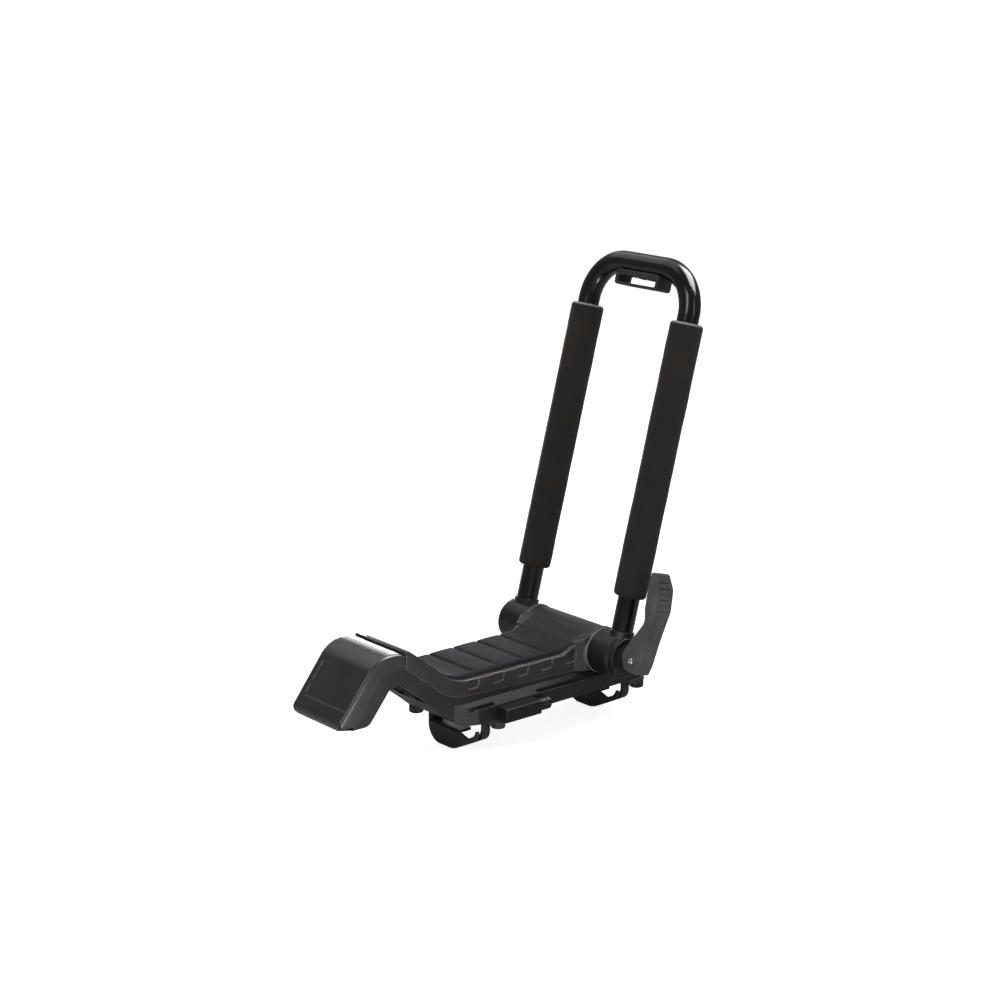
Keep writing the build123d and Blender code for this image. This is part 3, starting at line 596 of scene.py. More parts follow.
class LeanFrame:
    """Axes of the upright: origin on the hinge, y along it, z up along the legs."""

    def __init__(self) -> None:
        """Read hinge place and lean from the joints."""
        joints = {joint["name"]: joint for joint in frame["record"]["behaviour"]["joints"]}
        self.origin = Vector(joints["upright_fold"]["pos_m"])
        across = Vector(joints["lever_open"]["axis"]).normalized()
        along = Vector((0.0, 1.0, 0.0))
        self.axes = Matrix((across, along, across.cross(along))).transposed()

    def matrix(self, x: float = 0.0, y: float = 0.0, z: float = 0.0) -> Matrix:
        """Matrix from the upright's axes, moved to a place in them, to the carrier's frame."""
        return Matrix.Translation(self.origin) @ self.axes.to_4x4() @ Matrix.Translation((x, y, z))

    def span(self, node: str) -> tuple[Vector, Vector]:
        """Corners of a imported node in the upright's axes.

        Args:
            node: name of the node.

        Returns:
            Its low and high corner.
        """
        back = self.matrix().inverted()
        points = [back @ vert.co for vert in frame["nodes"][node].data.vertices]
        low = Vector(min(p[i] for p in points) for i in range(3))
        high = Vector(max(p[i] for p in points) for i in range(3))
        return low, high


def tree_of(node: str) -> bvhtree.BVHTree:
    """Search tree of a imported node's faces."""
    data = frame["nodes"][node].data
    return bvhtree.BVHTree.FromPolygons([v.co for v in data.vertices], [f.vertices for f in data.polygons])


def verts_of(geom: Sequence) -> list[bmesh.types.BMVert]:
    """The vertices in what an operator gives back."""
    return [item for item in geom if isinstance(item, bmesh.types.BMVert)]


def edges_of(geom: Sequence) -> list[bmesh.types.BMEdge]:
    """The edges in what an operator gives back."""
    return [item for item in geom if isinstance(item, bmesh.types.BMEdge)]


def soften(mesh: bmesh.types.BMesh, edges: Sequence, offset: float, segments: int) -> None:
    """Round some edges of a mesh with a bevel."""
    bmesh.ops.bevel(mesh, geom=edges, offset=offset, offset_type="OFFSET", segments=segments, profile=0.5,
                    affect="EDGES", material=-1, clamp_overlap=True)


def grid_lines(mesh: bmesh.types.BMesh, axis: int) -> list[float]:
    """Rounded places of a grid's lines along an axis, in order."""
    return sorted({round(vert.co[axis], GRID_DIGITS) for vert in mesh.verts})


def lathe(profile: Sequence[tuple[float, float]], steps: int) -> bmesh.types.BMesh:
    """Turn a profile about Z.

    Args:
        profile: (radius, height) points.
        steps: number of steps round the axis.

    Returns:
        The turned surface.
    """
    mesh = bmesh.new()
    verts = [mesh.verts.new((radius, 0.0, height)) for radius, height in profile]
    edges = [mesh.edges.new(pair) for pair in zip(verts, verts[1:])]
    bmesh.ops.spin(mesh, geom=verts + edges, cent=(0, 0, 0), axis=(0, 0, 1), angle=math.tau, steps=steps,
                   use_merge=True)
    bmesh.ops.remove_doubles(mesh, verts=mesh.verts, dist=WELD)
    return mesh


def quarter(centre: tuple[float, float], radius: float, start_deg: float,
            steps: int) -> list[tuple[float, float]]:
    """Points on a quarter circle, turning anticlockwise from an angle."""
    angles = [math.radians(start_deg + 90.0 * i / steps) for i in range(steps + 1)]
    return [(centre[0] + radius * math.cos(a), centre[1] + radius * math.sin(a)) for a in angles]


def rounded_box(half: float, low: float, high: float, radius: float,
                steps: int = 6) -> list[tuple[float, float]]:
    """Points round an upright rectangle with rounded corners.

    Args:
        half: half its width.
        low: its lower edge.
        high: its upper edge.
        radius: corner radius.
        steps: steps in each corner.

    Returns:
        (across, height) points, anticlockwise from the lower left corner.
    """
    wide, floor, roof = half - radius, low + radius, high - radius
    corners = ((-wide, floor, 180.0), (wide, floor, 270.0), (wide, roof, 0.0), (-wide, roof, 90.0))
    return [point for y, z, start in corners for point in quarter((y, z), radius, start, steps)]


def extend(path: list[Vector], end: Vector, step: float) -> None:
    """Run a path straight on to an end in even steps."""
    start, count = path[-1].copy(), max(1, math.ceil((end - path[-1]).length / step))
    path += [start.lerp(end, i / count) for i in range(1, count + 1)]


def fillet_path(points: Sequence[Vector], radii: Sequence[float], step: float) -> list[Vector]:
    """Points along a polyline with rounded corners.

    Args:
        points: corners, with the two ends.
        radii: radius at each corner between the ends.
        step: greatest distance between two points.

    Returns:
        The points in order.
    """
    path = [points[0].copy()]
    for corner, radius, before, after in zip(points[1:], radii, points, points[2:]):
        back, ahead = (before - corner).normalized(), (after - corner).normalized()
        half = back.angle(ahead) / 2.0
        centre = corner + (back + ahead).normalized() * (radius / math.sin(half))
        first = corner + back * (radius / math.tan(half)) - centre
        turn = back.cross(ahead).normalized()
        sweep = math.pi - 2.0 * half
        count = max(2, math.ceil(sweep * radius / step))
        arc = [centre + Matrix.Rotation(-sweep * i / count, 3, turn) @ first for i in range(count + 1)]
        extend(path, arc[0], step)
        path += arc[1:]
    extend(path, points[-1], step)
    return path


def outward(path: Sequence[Vector]) -> list[Vector]:
    """Normals on the left of a path in the middle plane.

    Args:
        path: points in order.

    Returns:
        One normal for each point.
    """
    around = [path[0], *path, path[-1]]
    ways = [(last - first).normalized() for first, last in zip(around, around[2:])]
    return [Vector((-way.z, 0.0, way.x)) for way in ways]


@dataclass
class NoseCap:
    """Nose cap: soft edges, rounded lower corners, a panel line, and a crest that falls to the seam."""

    bench: Bench
    slope: float = math.radians(51.63)
    lip_round: float = 8.5 * MM
    crest_round: float = 38.0 * MM
    lip_half: float = 43.6 * MM
    edge: float = 3.6 * MM
    corner: float = 8.0 * MM
    band: float = 19.0 * MM
    heel_deep: float = 30.0 * MM
    heel_cut: float = 7.0 * MM
    heel_run: float = 35.0 * MM
    tip_lift: float = 2.2 * MM
    wall: float = 2.0 * MM
    fall: float = 3.8 * MM
    fall_run: float = 17.0 * MM
    line_low: float = 28.8 * MM
    line_high: float = 70.0 * MM
    line_side: float = 33.0 * MM
    line_end: float = -38.0 * MM
    line_round: float = 4.0 * MM
    line_half: float = 0.75 * MM
    line_deep: float = 0.8 * MM
    step: float = 0.6 * MM
    edge_steps: int = 8
    side_steps: int = 4

    def build(self) -> None:
        """Map a grid on the sections of the cap and give it a wall."""
        self.low, self.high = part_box("nose_cap")
        plain = self.outline()
        inner = [self.inside(point, away) for point, away in zip(plain, outward(plain))]
        path = [self.fallen(point) for point in plain]
        ways, columns = outward(path), self.columns()
        mesh = bmesh.new()
        bmesh.ops.create_grid(mesh, x_segments=len(path) - 1, y_segments=len(columns) - 1, size=1.0)
        rows, lines = ({value: i for i, value in enumerate(grid_lines(mesh, axis))} for axis in (0, 1))
        for vert in mesh.verts:
            i, j = rows[round(vert.co.x, GRID_DIGITS)], lines[round(vert.co.y, GRID_DIGITS)]
            vert.co = self.place(path[i], ways[i], inner[i], *columns[j])
        bmesh.ops.remove_doubles(mesh, verts=mesh.verts, dist=WELD)
        bmesh.ops.recalc_face_normals(mesh, faces=mesh.faces)
        bmesh.ops.solidify(mesh, geom=mesh.faces[:], thickness=self.wall)
        self.bench.piece("nose_cap_skin", mesh, "nose_satin", "nose_cap", smooth_deg=50.0)

    def outline(self) -> list[Vector]:
        """Find lip, front and heel, and round the cap's path in the middle plane.

        Returns:
            Points from the heel over lip and crest to the seam.
        """
        reach = self.lip_round / math.tan(self.slope / 2.0)
        self.rise = rise = Vector((math.cos(self.slope), 0.0, math.sin(self.slope)))
        self.lip = Vector((self.low.x + self.lip_round - reach, 0.0, self.low.z))
        self.front = self.lip + rise * (reach + self.heel_cut)
        self.heel = self.front - Vector((-rise.z, 0.0, rise.x)) * self.heel_deep
        tip = self.lip + rise * self.tip_lift
        base = self.heel - rise * self.heel_cut
        base += (tip - base).normalized() * self.heel_cut
        crest = self.lip + rise * ((self.high.z - self.low.z) / rise.z)
        seam = Vector((self.high.x, 0.0, self.high.z))
        return fillet_path([base, tip, crest, seam], (self.lip_round, self.crest_round), self.step)

    def fallen(self, point: Vector) -> Vector:
        """A point of the path, let down where the crest falls to the seam."""
        share = max(0.0, 1.0 - (self.high.x - point.x) / self.fall_run)
        return point - Vector((0.0, 0.0, self.fall * share ** 2))

    def columns(self) -> list[tuple[float, float, float]]:
        """Places across the cap.

        Returns:
            For each the share of the flat width, the turn round the edge, and the share of the side wall.
        """
        count = math.ceil(2.0 * (self.lip_half - self.edge) / self.step)
        flat = [(2.0 * i / count - 1.0, 0.0, 0.0) for i in range(count + 1)]
        turned = [math.pi / 2.0 * i / self.edge_steps for i in range(1, self.edge_steps + 1)]
        walls = [i / self.side_steps for i in range(1, self.side_steps + 1)]
        far = [(1.0, turn, 0.0) for turn in turned] + [(1.0, math.pi / 2.0, share) for share in walls]
        near = [(-1.0, turn, share) for _, turn, share in reversed(far)]
        return near + flat + far

    def inside(self, point: Vector, out: Vector) -> Vector:
        """Where a side wall ends.

        Args:
            point: place on the path where the wall starts.
            out: the path's outward normal there.

        Returns:
            The end in the middle plane, which is the heel for the whole lower end.
        """
        above = (point - self.front).dot(self.rise)
        deep = self.band + (self.heel_deep - self.band) * max(0.0, 1.0 - above / self.heel_run) ** 2
        return self.heel if above < 0.0 else point - out * deep

    def place(self, point: Vector, out: Vector, inner: Vector, flat: float, turn: float,
              share: float) -> Vector:
        """Point of the cap.

        Args:
            point: place on the path in the middle plane.
            out: the path's outward normal there.
            inner: where the side wall ends.
            flat: share of the flat width, with its sign.
            turn: angle round the side edge.
            share: share of the side wall below the edge.

        Returns:
            The point.
        """
        height = point.z - self.low.z
        short = min(max(self.corner - height, 0.0), self.corner)
        narrow = self.corner - math.sqrt(self.corner ** 2 - short ** 2)
        y = (self.half(point.x) - narrow - self.edge) * flat + math.copysign(self.edge * math.sin(turn), flat)
        spot = point - out * (self.edge * (1.0 - math.cos(turn)))
        spot = spot.lerp(inner, share)
        wide = self.half(self.front.x if inner is self.heel else point.x)
        y += (math.copysign(wide, flat) - y) * share
        spot -= out * (self.groove((point - self.lip).length, y) if not turn else 0.0)
        return Vector((spot.x, y, spot.z))

    def half(self, x: float) -> float:
        """Half width of the cap at a place along it."""
        taper = (x - self.low.x) / (self.high.x - self.low.x)
        return self.lip_half + (self.high.y - self.lip_half) * max(0.0, taper)

    def groove(self, along: float, y: float) -> float:
        """Depth of the panel line.

        Args:
            along: place on the front, measured up from the lip.
            y: place across it.

        Returns:
            The depth there, 0 off the line.
        """
        up, inside, bend = along - self.line_low, self.line_side - y, self.line_round
        if up > self.line_high - self.line_low or y < self.line_end:
            return 0.0
        if up < bend and inside < bend:
            off = abs(bend - math.hypot(bend - up, bend - inside))
        else:
            off = min(abs(up) if inside >= bend else math.inf, abs(inside) if up >= bend else math.inf)
        return self.line_deep * max(0.0, 1.0 - (off / self.line_half) ** 2)


@dataclass
class Upright:
    """Bent tube, foam sleeves and strap loop."""

    bench: Bench
    lean: LeanFrame
    bend: float = 49.0 * MM
    sides: int = 56
    bend_steps: int = 28
    foam_round: float = 4.5 * MM
    foam_inset: float = 1.8 * MM
    foam_arc: int = 8
    foam_rows: int = 90
    foam_wave: float = 0.35 * MM
    wave_scale: float = 45.0
    wave_shift: float = 900.0
    bore_margin: float = 1.05
    guide_depth: float = 12.0 * MM
    guide_sill: float = 3.4 * MM
    guide_slot: float = 7.8 * MM
    guide_cheek: float = 4.3 * MM
    guide_seat: float = 1.0 * MM
    guide_round: float = 4.0 * MM
    guide_edge: float = 0.8 * MM
    guide_arc: int = 3
    guide_sharp: float = 1.0
    guide_teeth: Sequence[float] = (-5.0 * MM, -19.0 * MM)
    tooth: Sequence[float] = (10.0 * MM, 3.0 * MM, 2.4 * MM)

    def build(self) -> None:
        """Make tube, sleeves and strap loop."""
        self.make_tube()
        for flank in Flank:
            self.make_sleeve(f"sleeve_{flank.value}")
        self.make_guide()

    def make_tube(self) -> None:
        """Tube as one ring drawn up a leg, round both bends and down the other leg."""
        low, high = self.lean.span("u_tube")
        radius = high.x
        leg, apex = high.y - radius, high.z - radius
        mesh = bmesh.new()
        foot = Matrix.Translation((0.0, -leg, low.z))
        bmesh.ops.create_circle(mesh, cap_ends=False, segments=self.sides, radius=radius, matrix=foot)
        ring = self.draw(mesh, mesh.edges[:], (0.0, 0.0, apex - self.bend - low.z))
        ring = self.turn(mesh, ring, (0.0, -leg + self.bend, apex - self.bend))
        ring = self.draw(mesh, ring, (0.0, 2.0 * (leg - self.bend), 0.0))
        ring = self.turn(mesh, ring, (0.0, leg - self.bend, apex - self.bend))
        self.draw(mesh, ring, (0.0, 0.0, low.z - apex + self.bend))
        bmesh.ops.transform(mesh, matrix=self.lean.matrix(), verts=mesh.verts)
        self.bench.piece("u_tube_skin", mesh, "tube_gloss", "u_tube")

    def draw(self, mesh: bmesh.types.BMesh, ring: list, way: Sequence[float]) -> list:
        """Extrude a ring of edges straight on.

        Args:
            mesh: mesh of the tube.
            ring: edges of its open end.
            way: direction and length.

        Returns:
            Edges of the new end.
        """
        grown = bmesh.ops.extrude_edge_only(mesh, edges=ring)["geom"]
        verts = verts_of(grown)
        bmesh.ops.translate(mesh, verts=verts, vec=way)
        return [edge for edge in edges_of(grown) if all(vert in verts for vert in edge.verts)]

    def turn(self, mesh: bmesh.types.BMesh, ring: list, centre: Sequence[float]) -> list:
        """Sweep a ring of edges round a quarter bend.

        Args:
            mesh: mesh of the tube.
            ring: edges of its open end.
            centre: centre of the bend.

        Returns:
            Edges of the new end.
        """
        verts = list({vert for edge in ring for vert in edge.verts})
        grown = bmesh.ops.spin(mesh, geom=verts + ring, cent=centre, axis=(1, 0, 0), angle=-math.pi / 2,
                               steps=self.bend_steps)
        return edges_of(grown["geom_last"])

    def make_sleeve(self, node: str) -> None:
        """Foam sleeve turned from its profile, with soft ends and a hand cut waviness.

        Args:
            node: packed sleeve that it stands for.
        """
        low, high = self.lean.span(node)
        bore = self.lean.span("u_tube")[1].x
        radius, middle = (high.y - low.y) / 2.0, (high.y + low.y) / 2.0
        length, soft = high.z - low.z, self.foam_round
        straight = length - 2.0 * soft
        profile = [(bore, self.foam_inset)]
        profile += quarter((radius - soft, soft), soft, -90.0, self.foam_arc)
        profile += [(radius, soft + straight * i / self.foam_rows) for i in range(1, self.foam_rows)]
        profile += quarter((radius - soft, length - soft), soft, 0.0, self.foam_arc)
        profile += [(bore, length - self.foam_inset)]
        mesh = lathe(profile, self.sides)
        shift = Vector((middle * self.wave_shift, 0.0, 0.0))
        for vert in mesh.verts:
            swell = noise.noise(vert.co * self.wave_scale + shift)
            away = Vector((vert.co.x, vert.co.y, 0.0))
            vert.co += away.normalized() * (swell * self.foam_wave * (away.length > bore * self.bore_margin))
        bmesh.ops.transform(mesh, matrix=self.lean.matrix(0.0, middle, low.z), verts=mesh.verts)
        foam = self.bench.piece(f"{node}_skin", mesh, "foam_skin", node, smooth_deg=60.0)

    def make_guide(self) -> None:
        """Deep strap loop with a rounded slot and two small teeth at the slot's upper edge."""
        low, high = self.lean.span("strap_guide")
        half, sill, top = high.y, low.z + self.guide_sill, low.z + self.guide_sill + self.guide_slot
        loops = (
            rounded_box(half, low.z, high.z + self.guide_seat, self.guide_round),
            rounded_box(half - self.guide_cheek, sill, top, self.guide_round / 2.0),
        )
        mesh = bmesh.new()
        for loop in loops:
            verts = [mesh.verts.new((-self.guide_depth, y, z)) for y, z in loop]
            for pair in zip(verts, verts[1:] + verts[:1]):
                mesh.edges.new(pair)
        faces = bmesh.ops.bridge_loops(mesh, edges=mesh.edges[:])["faces"]
        grown = bmesh.ops.extrude_face_region(mesh, geom=faces, use_keep_orig=True)["geom"]
        bmesh.ops.translate(mesh, verts=verts_of(grown), vec=(2.0 * self.guide_depth, 0.0, 0.0))
        bmesh.ops.recalc_face_normals(mesh, faces=mesh.faces)
        sharp = [edge for edge in mesh.edges if edge.calc_face_angle(0.0) > self.guide_sharp]
        soften(mesh, sharp, self.guide_edge, self.guide_arc)
        for y in self.guide_teeth:
            place = Matrix.LocRotScale((-self.guide_depth / 2.0, y, top), None, self.tooth)
            bmesh.ops.create_cube(mesh, size=1.0, matrix=place)
        bmesh.ops.transform(mesh, matrix=self.lean.matrix(), verts=mesh.verts)
        self.bench.piece("strap_guide_skin", mesh, "clamp_grain", "strap_guide")


@dataclass
class HullPad:
    """Ribbed pad with pillowed panels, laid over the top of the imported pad."""

    bench: Bench
    first_rib: float = -118.7 * MM
    rib_pitch: float = 35.75 * MM
    ribs: int = 4
    rows: int = 300
    columns: int = 56
    shoulder: float = 2.2 * MM
    shoulder_share: float = 0.1
    crown: float = 0.9 * MM
    crown_power: float = 0.7
    groove: float = 2.3 * MM
    groove_half: float = 1.8 * MM
    rim_fade: float = 0.5
    rim_power: int = 6
    tail: float = 20.0 * MM
    tail_back: float = 13.0 * MM
    tail_thick: float = 0.15 * MM
    lip_length: float = 8.0 * MM
    lip_over: float = 3.0 * MM
    lip_deep: float = 6.0 * MM
    lip_proud: float = 0.25 * MM
    lip_far: float = 27.0 * MM
    lip_round: float = 1.0 * MM
    lip_arc: int = 5
    skirt: float = 4.2 * MM
    ray_height: float = 0.3
    probe: float = 3.0 * MM
    margin: float = 0.3 * MM

    def build(self) -> None:
        """Lay the ribbed skin and the black strip at its upper end."""
        self.solid, self.deck = tree_of("hull_pad"), tree_of("deck_cover")
        self.low, self.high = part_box("hull_pad")
        self.make_skin()
        self.make_lip()

    def make_skin(self) -> None:
        """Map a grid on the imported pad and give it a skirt."""
        mesh = bmesh.new()
        bmesh.ops.create_grid(mesh, x_segments=self.rows, y_segments=self.columns, size=1.0)
        levels = {row: self.level(row) for row in grid_lines(mesh, 0)}
        for vert in mesh.verts:
            vert.co = self.place(*levels[round(vert.co.x, GRID_DIGITS)], vert.co.y)
        rim = [edge for edge in mesh.edges if edge.is_boundary]
        grown = bmesh.ops.extrude_edge_only(mesh, edges=rim)["geom"]
        bmesh.ops.translate(mesh, verts=verts_of(grown), vec=(0.0, 0.0, -self.skirt))
        skin = self.bench.piece("hull_pad_skin", mesh, "pad_rubber", "hull_pad", smooth_deg=60.0)

    def make_lip(self) -> None:
        """Rubber strip across the crest, over the front edge of the deck."""
        low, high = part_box("deck_cover")
        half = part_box("nose_cap")[1].y
        size = (self.lip_length, half + self.lip_far, self.lip_deep)
        along = low.x - self.lip_over + self.lip_length / 2.0
        middle = (along, (self.lip_far - half) / 2.0, high.z + self.lip_proud - self.lip_deep / 2.0)
        mesh = bmesh.new()
        bmesh.ops.create_cube(mesh, size=1.0, matrix=Matrix.LocRotScale(middle, None, size))
        soften(mesh, mesh.edges[:], self.lip_round, self.lip_arc)
        self.bench.piece("hull_pad_lip", mesh, "grip_rubber", "hull_pad", replace=False)

    def drop(self, tree: bvhtree.BVHTree, x: float) -> float:
        """Height of a solid's top in the middle plane."""
        return tree.ray_cast(Vector((x, 0.0, self.ray_height)), Vector((0.0, 0.0, -1.0)))[0].z

    def top(self, x: float) -> float:
        """Height of the pad in the middle plane, without the ribs.

        Args:
            x: place along the pad.

        Returns:
            The height.
        """
        first, last = self.low.x + self.margin, self.high.x - self.tail_back
        if x > last:
            return self.tail_top(x, last, self.high.x + self.tail)
        spots = [min(max(x + step, first), last) for step in (-self.probe, 0.0, self.probe)]
        before, here, after = (self.drop(self.solid, spot) for spot in spots)
        return max(here, (before + after) / 2.0)

    def tail_top(self, x: float, last: float, end: float) -> float:
        """Height of the tail, a smooth curve from pad to fairing that stays clear of the deck.

        Args:
            x: place along the tail.
            last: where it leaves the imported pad.
            end: where it meets the fairing.

        Returns:
            The height.
        """
        run = end - last
        share = (x - last) / run
        left = 1.0 - share
        start, finish = self.drop(self.solid, last), self.drop(self.deck, end)
        slope_in = (start - self.drop(self.solid, last - self.probe)) / self.probe
        slope_out = (finish - self.drop(self.deck, end - self.probe)) / self.probe
        curve = start + (finish - start) * share * share * (3.0 - 2.0 * share)
        curve += share * left * run * (slope_in * left - slope_out * share)
        clear = self.drop(self.deck, x + self.probe * left) + 2.0 * self.tail_thick * left
        return max(curve, clear) + self.tail_thick * share

    def level(self, row: float) -> tuple[float, float, float, float]:
        """Place of one row of the grid.

        Args:
            row: from -1 at the lip to 1 at the hinge.

        Returns:
            Place along the pad, height, half width, and how much the panel swells there.
        """
        x = self.low.x + (self.high.x + self.tail - self.low.x) * (row + 1.0) / 2.0
        z = self.top(x)
        side = Vector((x, -self.ray_height, z - self.probe))
        found = self.solid.ray_cast(side, Vector((0.0, 1.0, 0.0)))[0]
        half = -found.y if found and x < self.high.x - self.probe else self.high.y
        step = (x - self.first_rib) / self.rib_pitch
        nearest = min(max(round(step), 0), self.ribs - 1)
        off = abs(x - self.first_rib - nearest * self.rib_pitch)
        swell = -self.groove * math.exp(-((off / self.groove_half) ** 2))
        if 0.0 < step < self.ribs - 1:
            swell += self.crown * math.sin(math.pi * (step % 1.0)) ** self.crown_power
        return x, z, half, swell

    def place(self, x: float, z: float, half: float, swell: float, across: float) -> Vector:
        """Point of the pad.

        Args:
            x: place along the pad.
            z: height of the row.
            half: half width of the row.
            swell: how much the panel swells.
            across: place across the row, from -1 to 1.

        Returns:
            The point.
        """
        flat = 1.0 - self.shoulder_share
        size = min(abs(across), flat) / flat
        turn = max(0.0, abs(across) - flat) / self.shoulder_share * math.pi / 2.0
        y = (half - self.shoulder) * size + self.shoulder * math.sin(turn)
        painted_light_span = 1.0 - self.rim_fade * size ** self.rim_power
        z += swell * painted_light_span - self.shoulder * (1.0 - math.cos(turn))
        return Vector((x, math.copysign(y, across), z))


@dataclass
class BaseShell:
    """Deck cover, lower frame with its small fittings, and the latch with its lock."""

    bench: Bench
    face_share: float = 0.34
    face_flat: float = 0.9
    face_proud: float = 0.25 * MM
    face_sides: int = 40
    slot_length: float = 5.0 * MM
    slot_width: float = 1.3 * MM
    slot_depth: float = 0.24 * MM

    def build(self) -> None:
        """Paint the shells and add the key face of the lock."""
        self.bench.paint("shell_grain", "deck_cover")
        self.bench.paint("latch_grain", "latch_housing")
        self.bench.paint("frame_grain", "base_frame")
        self.bench.paint("grip_rubber", "bar_pad")
        self.bench.paint("plain_brass", "thread_inserts")
        self.bench.paint("lock_gloss", "lock_barrel")
        self.make_key_face()

    def make_key_face(self) -> None:
        """Steel disc with a key slot on the end of the lock."""
        low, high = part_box("lock_barrel")
        middle = (low + high) / 2.0
        radius = (high.z - low.z) * self.face_share
        disc = [(0.0, self.face_proud), (radius * self.face_flat, self.face_proud), (radius, 0.0)]
        mesh = lathe(disc, self.face_sides)
        cuts = ((Vector((0, 1, 0)), self.slot_width / 2.0), (Vector((1, 0, 0)), self.slot_length / 2.0))
        for way, reach in cuts:
            for spot in (-reach * way, reach * way):
                whole = mesh.verts[:] + mesh.edges[:] + mesh.faces[:]
                bmesh.ops.bisect_plane(mesh, geom=whole, plane_co=spot, plane_no=way)
        slot = [face for face in mesh.faces
                if all(abs(face.calc_center_median().dot(way)) < reach for way, reach in cuts)]
        sunk = bmesh.ops.extrude_face_region(mesh, geom=slot)["geom"]
        bmesh.ops.delete(mesh, geom=slot, context="FACES_ONLY")
        bmesh.ops.translate(mesh, verts=verts_of(sunk), vec=(0.0, 0.0, -self.slot_depth))
        turn = Matrix.Translation((high.x, middle.y, middle.z)) @ Matrix.Rotation(math.pi / 2.0, 4, "Y")
        bmesh.ops.transform(mesh, matrix=turn, verts=mesh.verts)
        self.bench.piece("lock_face", mesh, "zinc_plate", "lock_barrel", replace=False)


@dataclass
class Hinge:
    """Hubs, rings and axle about the hinge."""

    bench: Bench
    lean: LeanFrame
    ring_over: float = 0.5 * MM
    ring_round: float = 0.4 * MM
    ring_arc: int = 4
    ring_sides: int = 96

    def build(self) -> None:
        """Paint the hubs and turn the pale nylon rings between barrel and hubs, whose pale tone is partly a
        painted highlight.
        """
        self.bench.paint("hub_satin", "near_hub", "far_hub", "hub_cap")
        self.bench.paint("grip_rubber", "cam_washer")
        self.bench.paint("dark_steel", "axle_rod", "axle_nut", "barrel_sleeve")
        for flank in Flank:
            self.make_ring(f"friction_ring_{flank.value}")

    def make_ring(self, node: str) -> None:
        """Ring as wide as the barrel, with rounded rims.

        Args:
            node: packed ring that it stands for.
        """
        low, high = self.lean.span(node)
        hub = self.lean.span("far_hub")[1].x
        outer, thick, soft = hub + self.ring_over, high.y - low.y, self.ring_round
        bore = self.lean.span("axle_rod")[1].x + soft
        profile = [(bore, 0.0)] + quarter((outer - soft, soft), soft, -90.0, self.ring_arc)
        profile += quarter((outer - soft, thick - soft), soft, 0.0, self.ring_arc)
        profile += [(bore, thick), (bore, 0.0)]
        mesh = lathe(profile, self.ring_sides)
        turn = self.lean.matrix(0.0, low.y, 0.0) @ Matrix.Rotation(-math.pi / 2.0, 4, "X")
        bmesh.ops.transform(mesh, matrix=turn, verts=mesh.verts)
        self.bench.piece(f"{node}_skin", mesh, "nylon_ring_highlight", node)


@dataclass
class CamLever:
    """Lever and the socket head of its pin. The back's points are heights and how far it moves there."""

    bench: Bench
    lean: LeanFrame
    back: Sequence[tuple[float, float]] = (
        (-13.0 * MM, 9.5 * MM), (0.0, 6.7 * MM), (30.0 * MM, -0.5 * MM),
        (64.0 * MM, -5.2 * MM), (88.0 * MM, -4.6 * MM), (105.5 * MM, -3.6 * MM),
    )
    back_from: float = -10.0 * MM
    back_full: float = -16.0 * MM
    head_radius: float = 3.7 * MM
    head_height: float = 1.2 * MM
    head_edge: float = 0.5 * MM
    head_arc: int = 4
    head_sides: int = 48
    hex_radius: float = 1.7 * MM
    hex_depth: float = 1.0 * MM

    def build(self) -> None:
        """Shape the lever's back, paint the pin and add its head."""
        self.pin_low, self.pin_high = self.lean.span("lever_pin")
        self.pin_y = (self.pin_low.y + self.pin_high.y) / 2.0
        self.axes = self.lean.matrix(0.0, self.pin_y, 0.0)
        self.away = self.axes.inverted()
        self.bench.reshape("cam_lever_skin", "cam_lever", "lever_grey", self.fuller)
        self.bench.paint("zinc_plate", "lever_pin")
        self.make_head()

    def fuller(self, point: Vector) -> Vector:
        """Move the lever's back in at the foot and out at the grip.

        Args:
            point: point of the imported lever.

        Returns:
            Its new place.
        """
        local = self.away @ point
        share = min(max((self.back_from - local.y) / (self.back_from - self.back_full), 0.0), 1.0)
        stretches = list(zip(self.back, self.back[1:]))
        (low, first), (high, last) = next((s for s in stretches if local.z <= s[1][0]), stretches[-1])
        rise = min(max((local.z - low) / (high - low), 0.0), 1.0)
        local.y += share * (first + (last - first) * rise)
        return self.axes @ local

    def make_head(self) -> None:
        """Round head with a hexagonal recess on the nose side of the lever."""
        mesh = bmesh.new()
        bmesh.ops.create_cone(mesh, cap_ends=True, segments=self.head_sides, radius1=self.head_radius,
                              radius2=self.head_radius, depth=self.head_height)
        top = max(mesh.faces, key=lambda face: face.calc_center_median().z)
        soften(mesh, list(top.edges), self.head_edge, self.head_arc)
        top = max(mesh.faces, key=lambda face: face.calc_center_median().z)
        bmesh.ops.delete(mesh, geom=[top], context="FACES_ONLY")
        rim = [edge for edge in mesh.edges if edge.is_boundary]
        level = Matrix.Translation((0.0, 0.0, rim[0].verts[0].co.z))
        hexagon = bmesh.ops.create_circle(mesh, cap_ends=False, segments=6, radius=self.hex_radius,
                                          matrix=level)["verts"]
        inner = list({edge for vert in hexagon for edge in vert.link_edges})
        bmesh.ops.bridge_loops(mesh, edges=rim + inner)
        deep = bmesh.ops.extrude_edge_only(mesh, edges=inner)["geom"]
        bmesh.ops.translate(mesh, verts=verts_of(deep), vec=(0.0, 0.0, -self.hex_depth))
        bmesh.ops.contextual_create(mesh, geom=[edge for edge in edges_of(deep) if edge.is_boundary])
        seat = self.lean.matrix(self.pin_low.x - self.head_height / 2.0 + self.head_edge, self.pin_y, 0.0)
        bmesh.ops.transform(mesh, matrix=seat @ Matrix.Rotation(-math.pi / 2.0, 4, "Y"), verts=mesh.verts)
        self.bench.piece("lever_pin_head", mesh, "zinc_plate", "lever_pin", replace=False)


